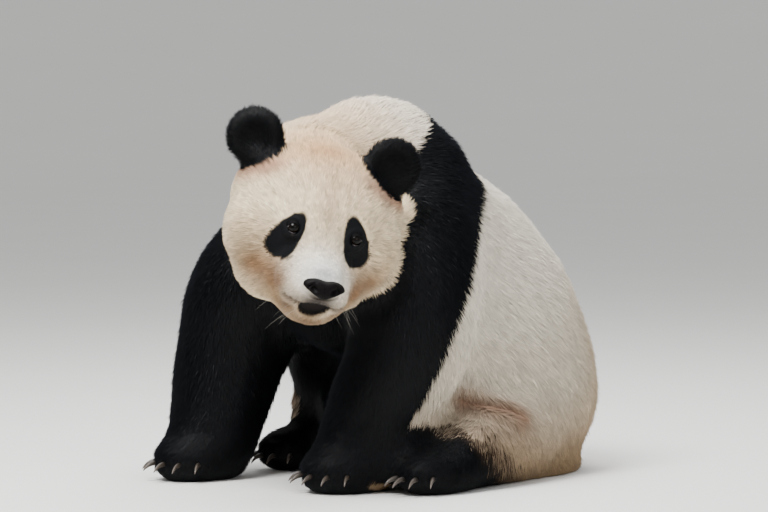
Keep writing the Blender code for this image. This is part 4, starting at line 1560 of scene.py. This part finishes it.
def make_floor():
    """A wide, pale, level disc whose rim rises in one soft curve, so that no horizon shows.

    Height is 0 out to FLAT_REACH and then grows as the square of the way beyond it.
    """
    rows, columns = 60, 128
    along, turn = parameters(rows, columns)
    radius = along**1.5 * FLOOR_REACH
    beyond = np.clip((radius - FLAT_REACH) / (FLOOR_REACH - FLAT_REACH), 0.0, 1.0)
    height = RIM_RISE * beyond**2 + 0 * turn
    points = np.stack([radius * np.cos(turn), radius * np.sin(turn), height], -1)
    mesh = fill_mesh("floor", points.reshape(-1, 3), grid_triangles(rows, columns))
    weld(mesh)
    material, tree, shader, place = new_material("pale_studio_floor", {"Roughness": 0.85})
    cloud = add_node(tree, "ShaderNodeTexNoise", {"Scale": 2.0, "Detail": 3.0}, {"Vector": place})
    shade = add_node(tree, "ShaderNodeMapRange", {"To Min": 0.98, "To Max": 1.02}, {"Value": cloud})
    pale = {"operation": "SCALE", 0: tuple(colours().floor)}
    colour = add_node(tree, "ShaderNodeVectorMath", pale, {"Scale": shade})
    join(tree, shader, {"Base Color": colour})
    mesh.materials.append(material)
    put("floor", mesh)


def stand(piece, place, way):
    """Stands a lamp or the camera at a place and turns it to look that way."""
    piece.location = place
    piece.rotation_mode = "QUATERNION"
    piece.rotation_quaternion = way.to_track_quat("-Z", "Y")


def make_lights():
    """Broad soft lights: a key high in front, a fill from the panda's left, one above, a pale surround."""
    world = bpy.data.worlds.new("studio")
    bpy.context.scene.world = world
    world.use_nodes = True
    back = world.node_tree.nodes["Background"]
    back.inputs["Color"].default_value = linear("#F1F2F3")
    back.inputs["Strength"].default_value = 0.70
    centre = Vector((0.0, 0.0, 0.35))
    for name, place, size, power in (
        ("key", (0.5, -2.2, 3.4), 2.0, 230.0),
        ("fill", (3.2, -1.2, 1.6), 2.4, 30.0),
        ("top", (-0.4, 0.8, 3.6), 3.0, 130.0),
    ):
        light = bpy.data.lights.new(name, "AREA")
        light.shape = "DISK"
        light.size = size
        light.energy = power
        stand(put(name, light), Vector(place), centre - Vector(place))


def make_camera():
    """A long lens from ahead and to the panda's left, a little above level."""
    level = math.cos(CAMERA_HEIGHT_ANGLE)
    out, ahead = math.sin(CAMERA_AZIMUTH) * level, math.cos(CAMERA_AZIMUTH) * level
    back = Vector((out, -ahead, math.sin(CAMERA_HEIGHT_ANGLE)))
    data = bpy.data.cameras.new("camera")
    data.sensor_width = SENSOR
    data.lens = SENSOR * CAMERA_DISTANCE / VIEW_WIDTH
    camera = put("camera", data)
    stand(camera, AIM + back * CAMERA_DISTANCE, -back)
    bpy.context.scene.camera = camera


class VIEW3D_PT_panda(bpy.types.Panel):
    """Lists the pieces and what can be changed"""

    bl_label = "Giant panda"
    bl_space_type = "VIEW_3D"
    bl_region_type = "UI"
    bl_category = "Panda"

    def draw(self, context):
        layout = self.layout
        for group in (context.scene.panda_sizes, context.scene.panda_colours):
            for name in group.__annotations__:
                layout.prop(group, name)
        for operator in OPERATORS:
            layout.operator(operator.bl_idname)


OPERATORS = (
    PANDA_OT_stage,
    PANDA_OT_skin,
    PANDA_OT_coat,
    PANDA_OT_eyes,
    PANDA_OT_nose,
    PANDA_OT_claws,
    PANDA_OT_whiskers,
)
CLASSES = (PandaSizes, PandaColours, *OPERATORS, VIEW3D_PT_panda)


def register():
    """Makes the panel, its operators and its properties known to Blender."""
    for kind in CLASSES:
        bpy.utils.register_class(kind)
    bpy.types.Scene.panda_sizes = bpy.props.PointerProperty(type=PandaSizes)
    bpy.types.Scene.panda_colours = bpy.props.PointerProperty(type=PandaColours)


def unregister():
    """Takes them away again."""
    del bpy.types.Scene.panda_colours
    del bpy.types.Scene.panda_sizes
    for kind in reversed(CLASSES):
        bpy.utils.unregister_class(kind)


def main():
    """Builds the whole dressed panda."""
    register()
    for operator in (
        bpy.ops.panda.stage,
        bpy.ops.panda.skin,
        bpy.ops.panda.coat,
        bpy.ops.panda.eyes,
        bpy.ops.panda.nose,
        bpy.ops.panda.claws,
        bpy.ops.panda.whiskers,
    ):
        operator()


if __name__ == "__main__":
    main()
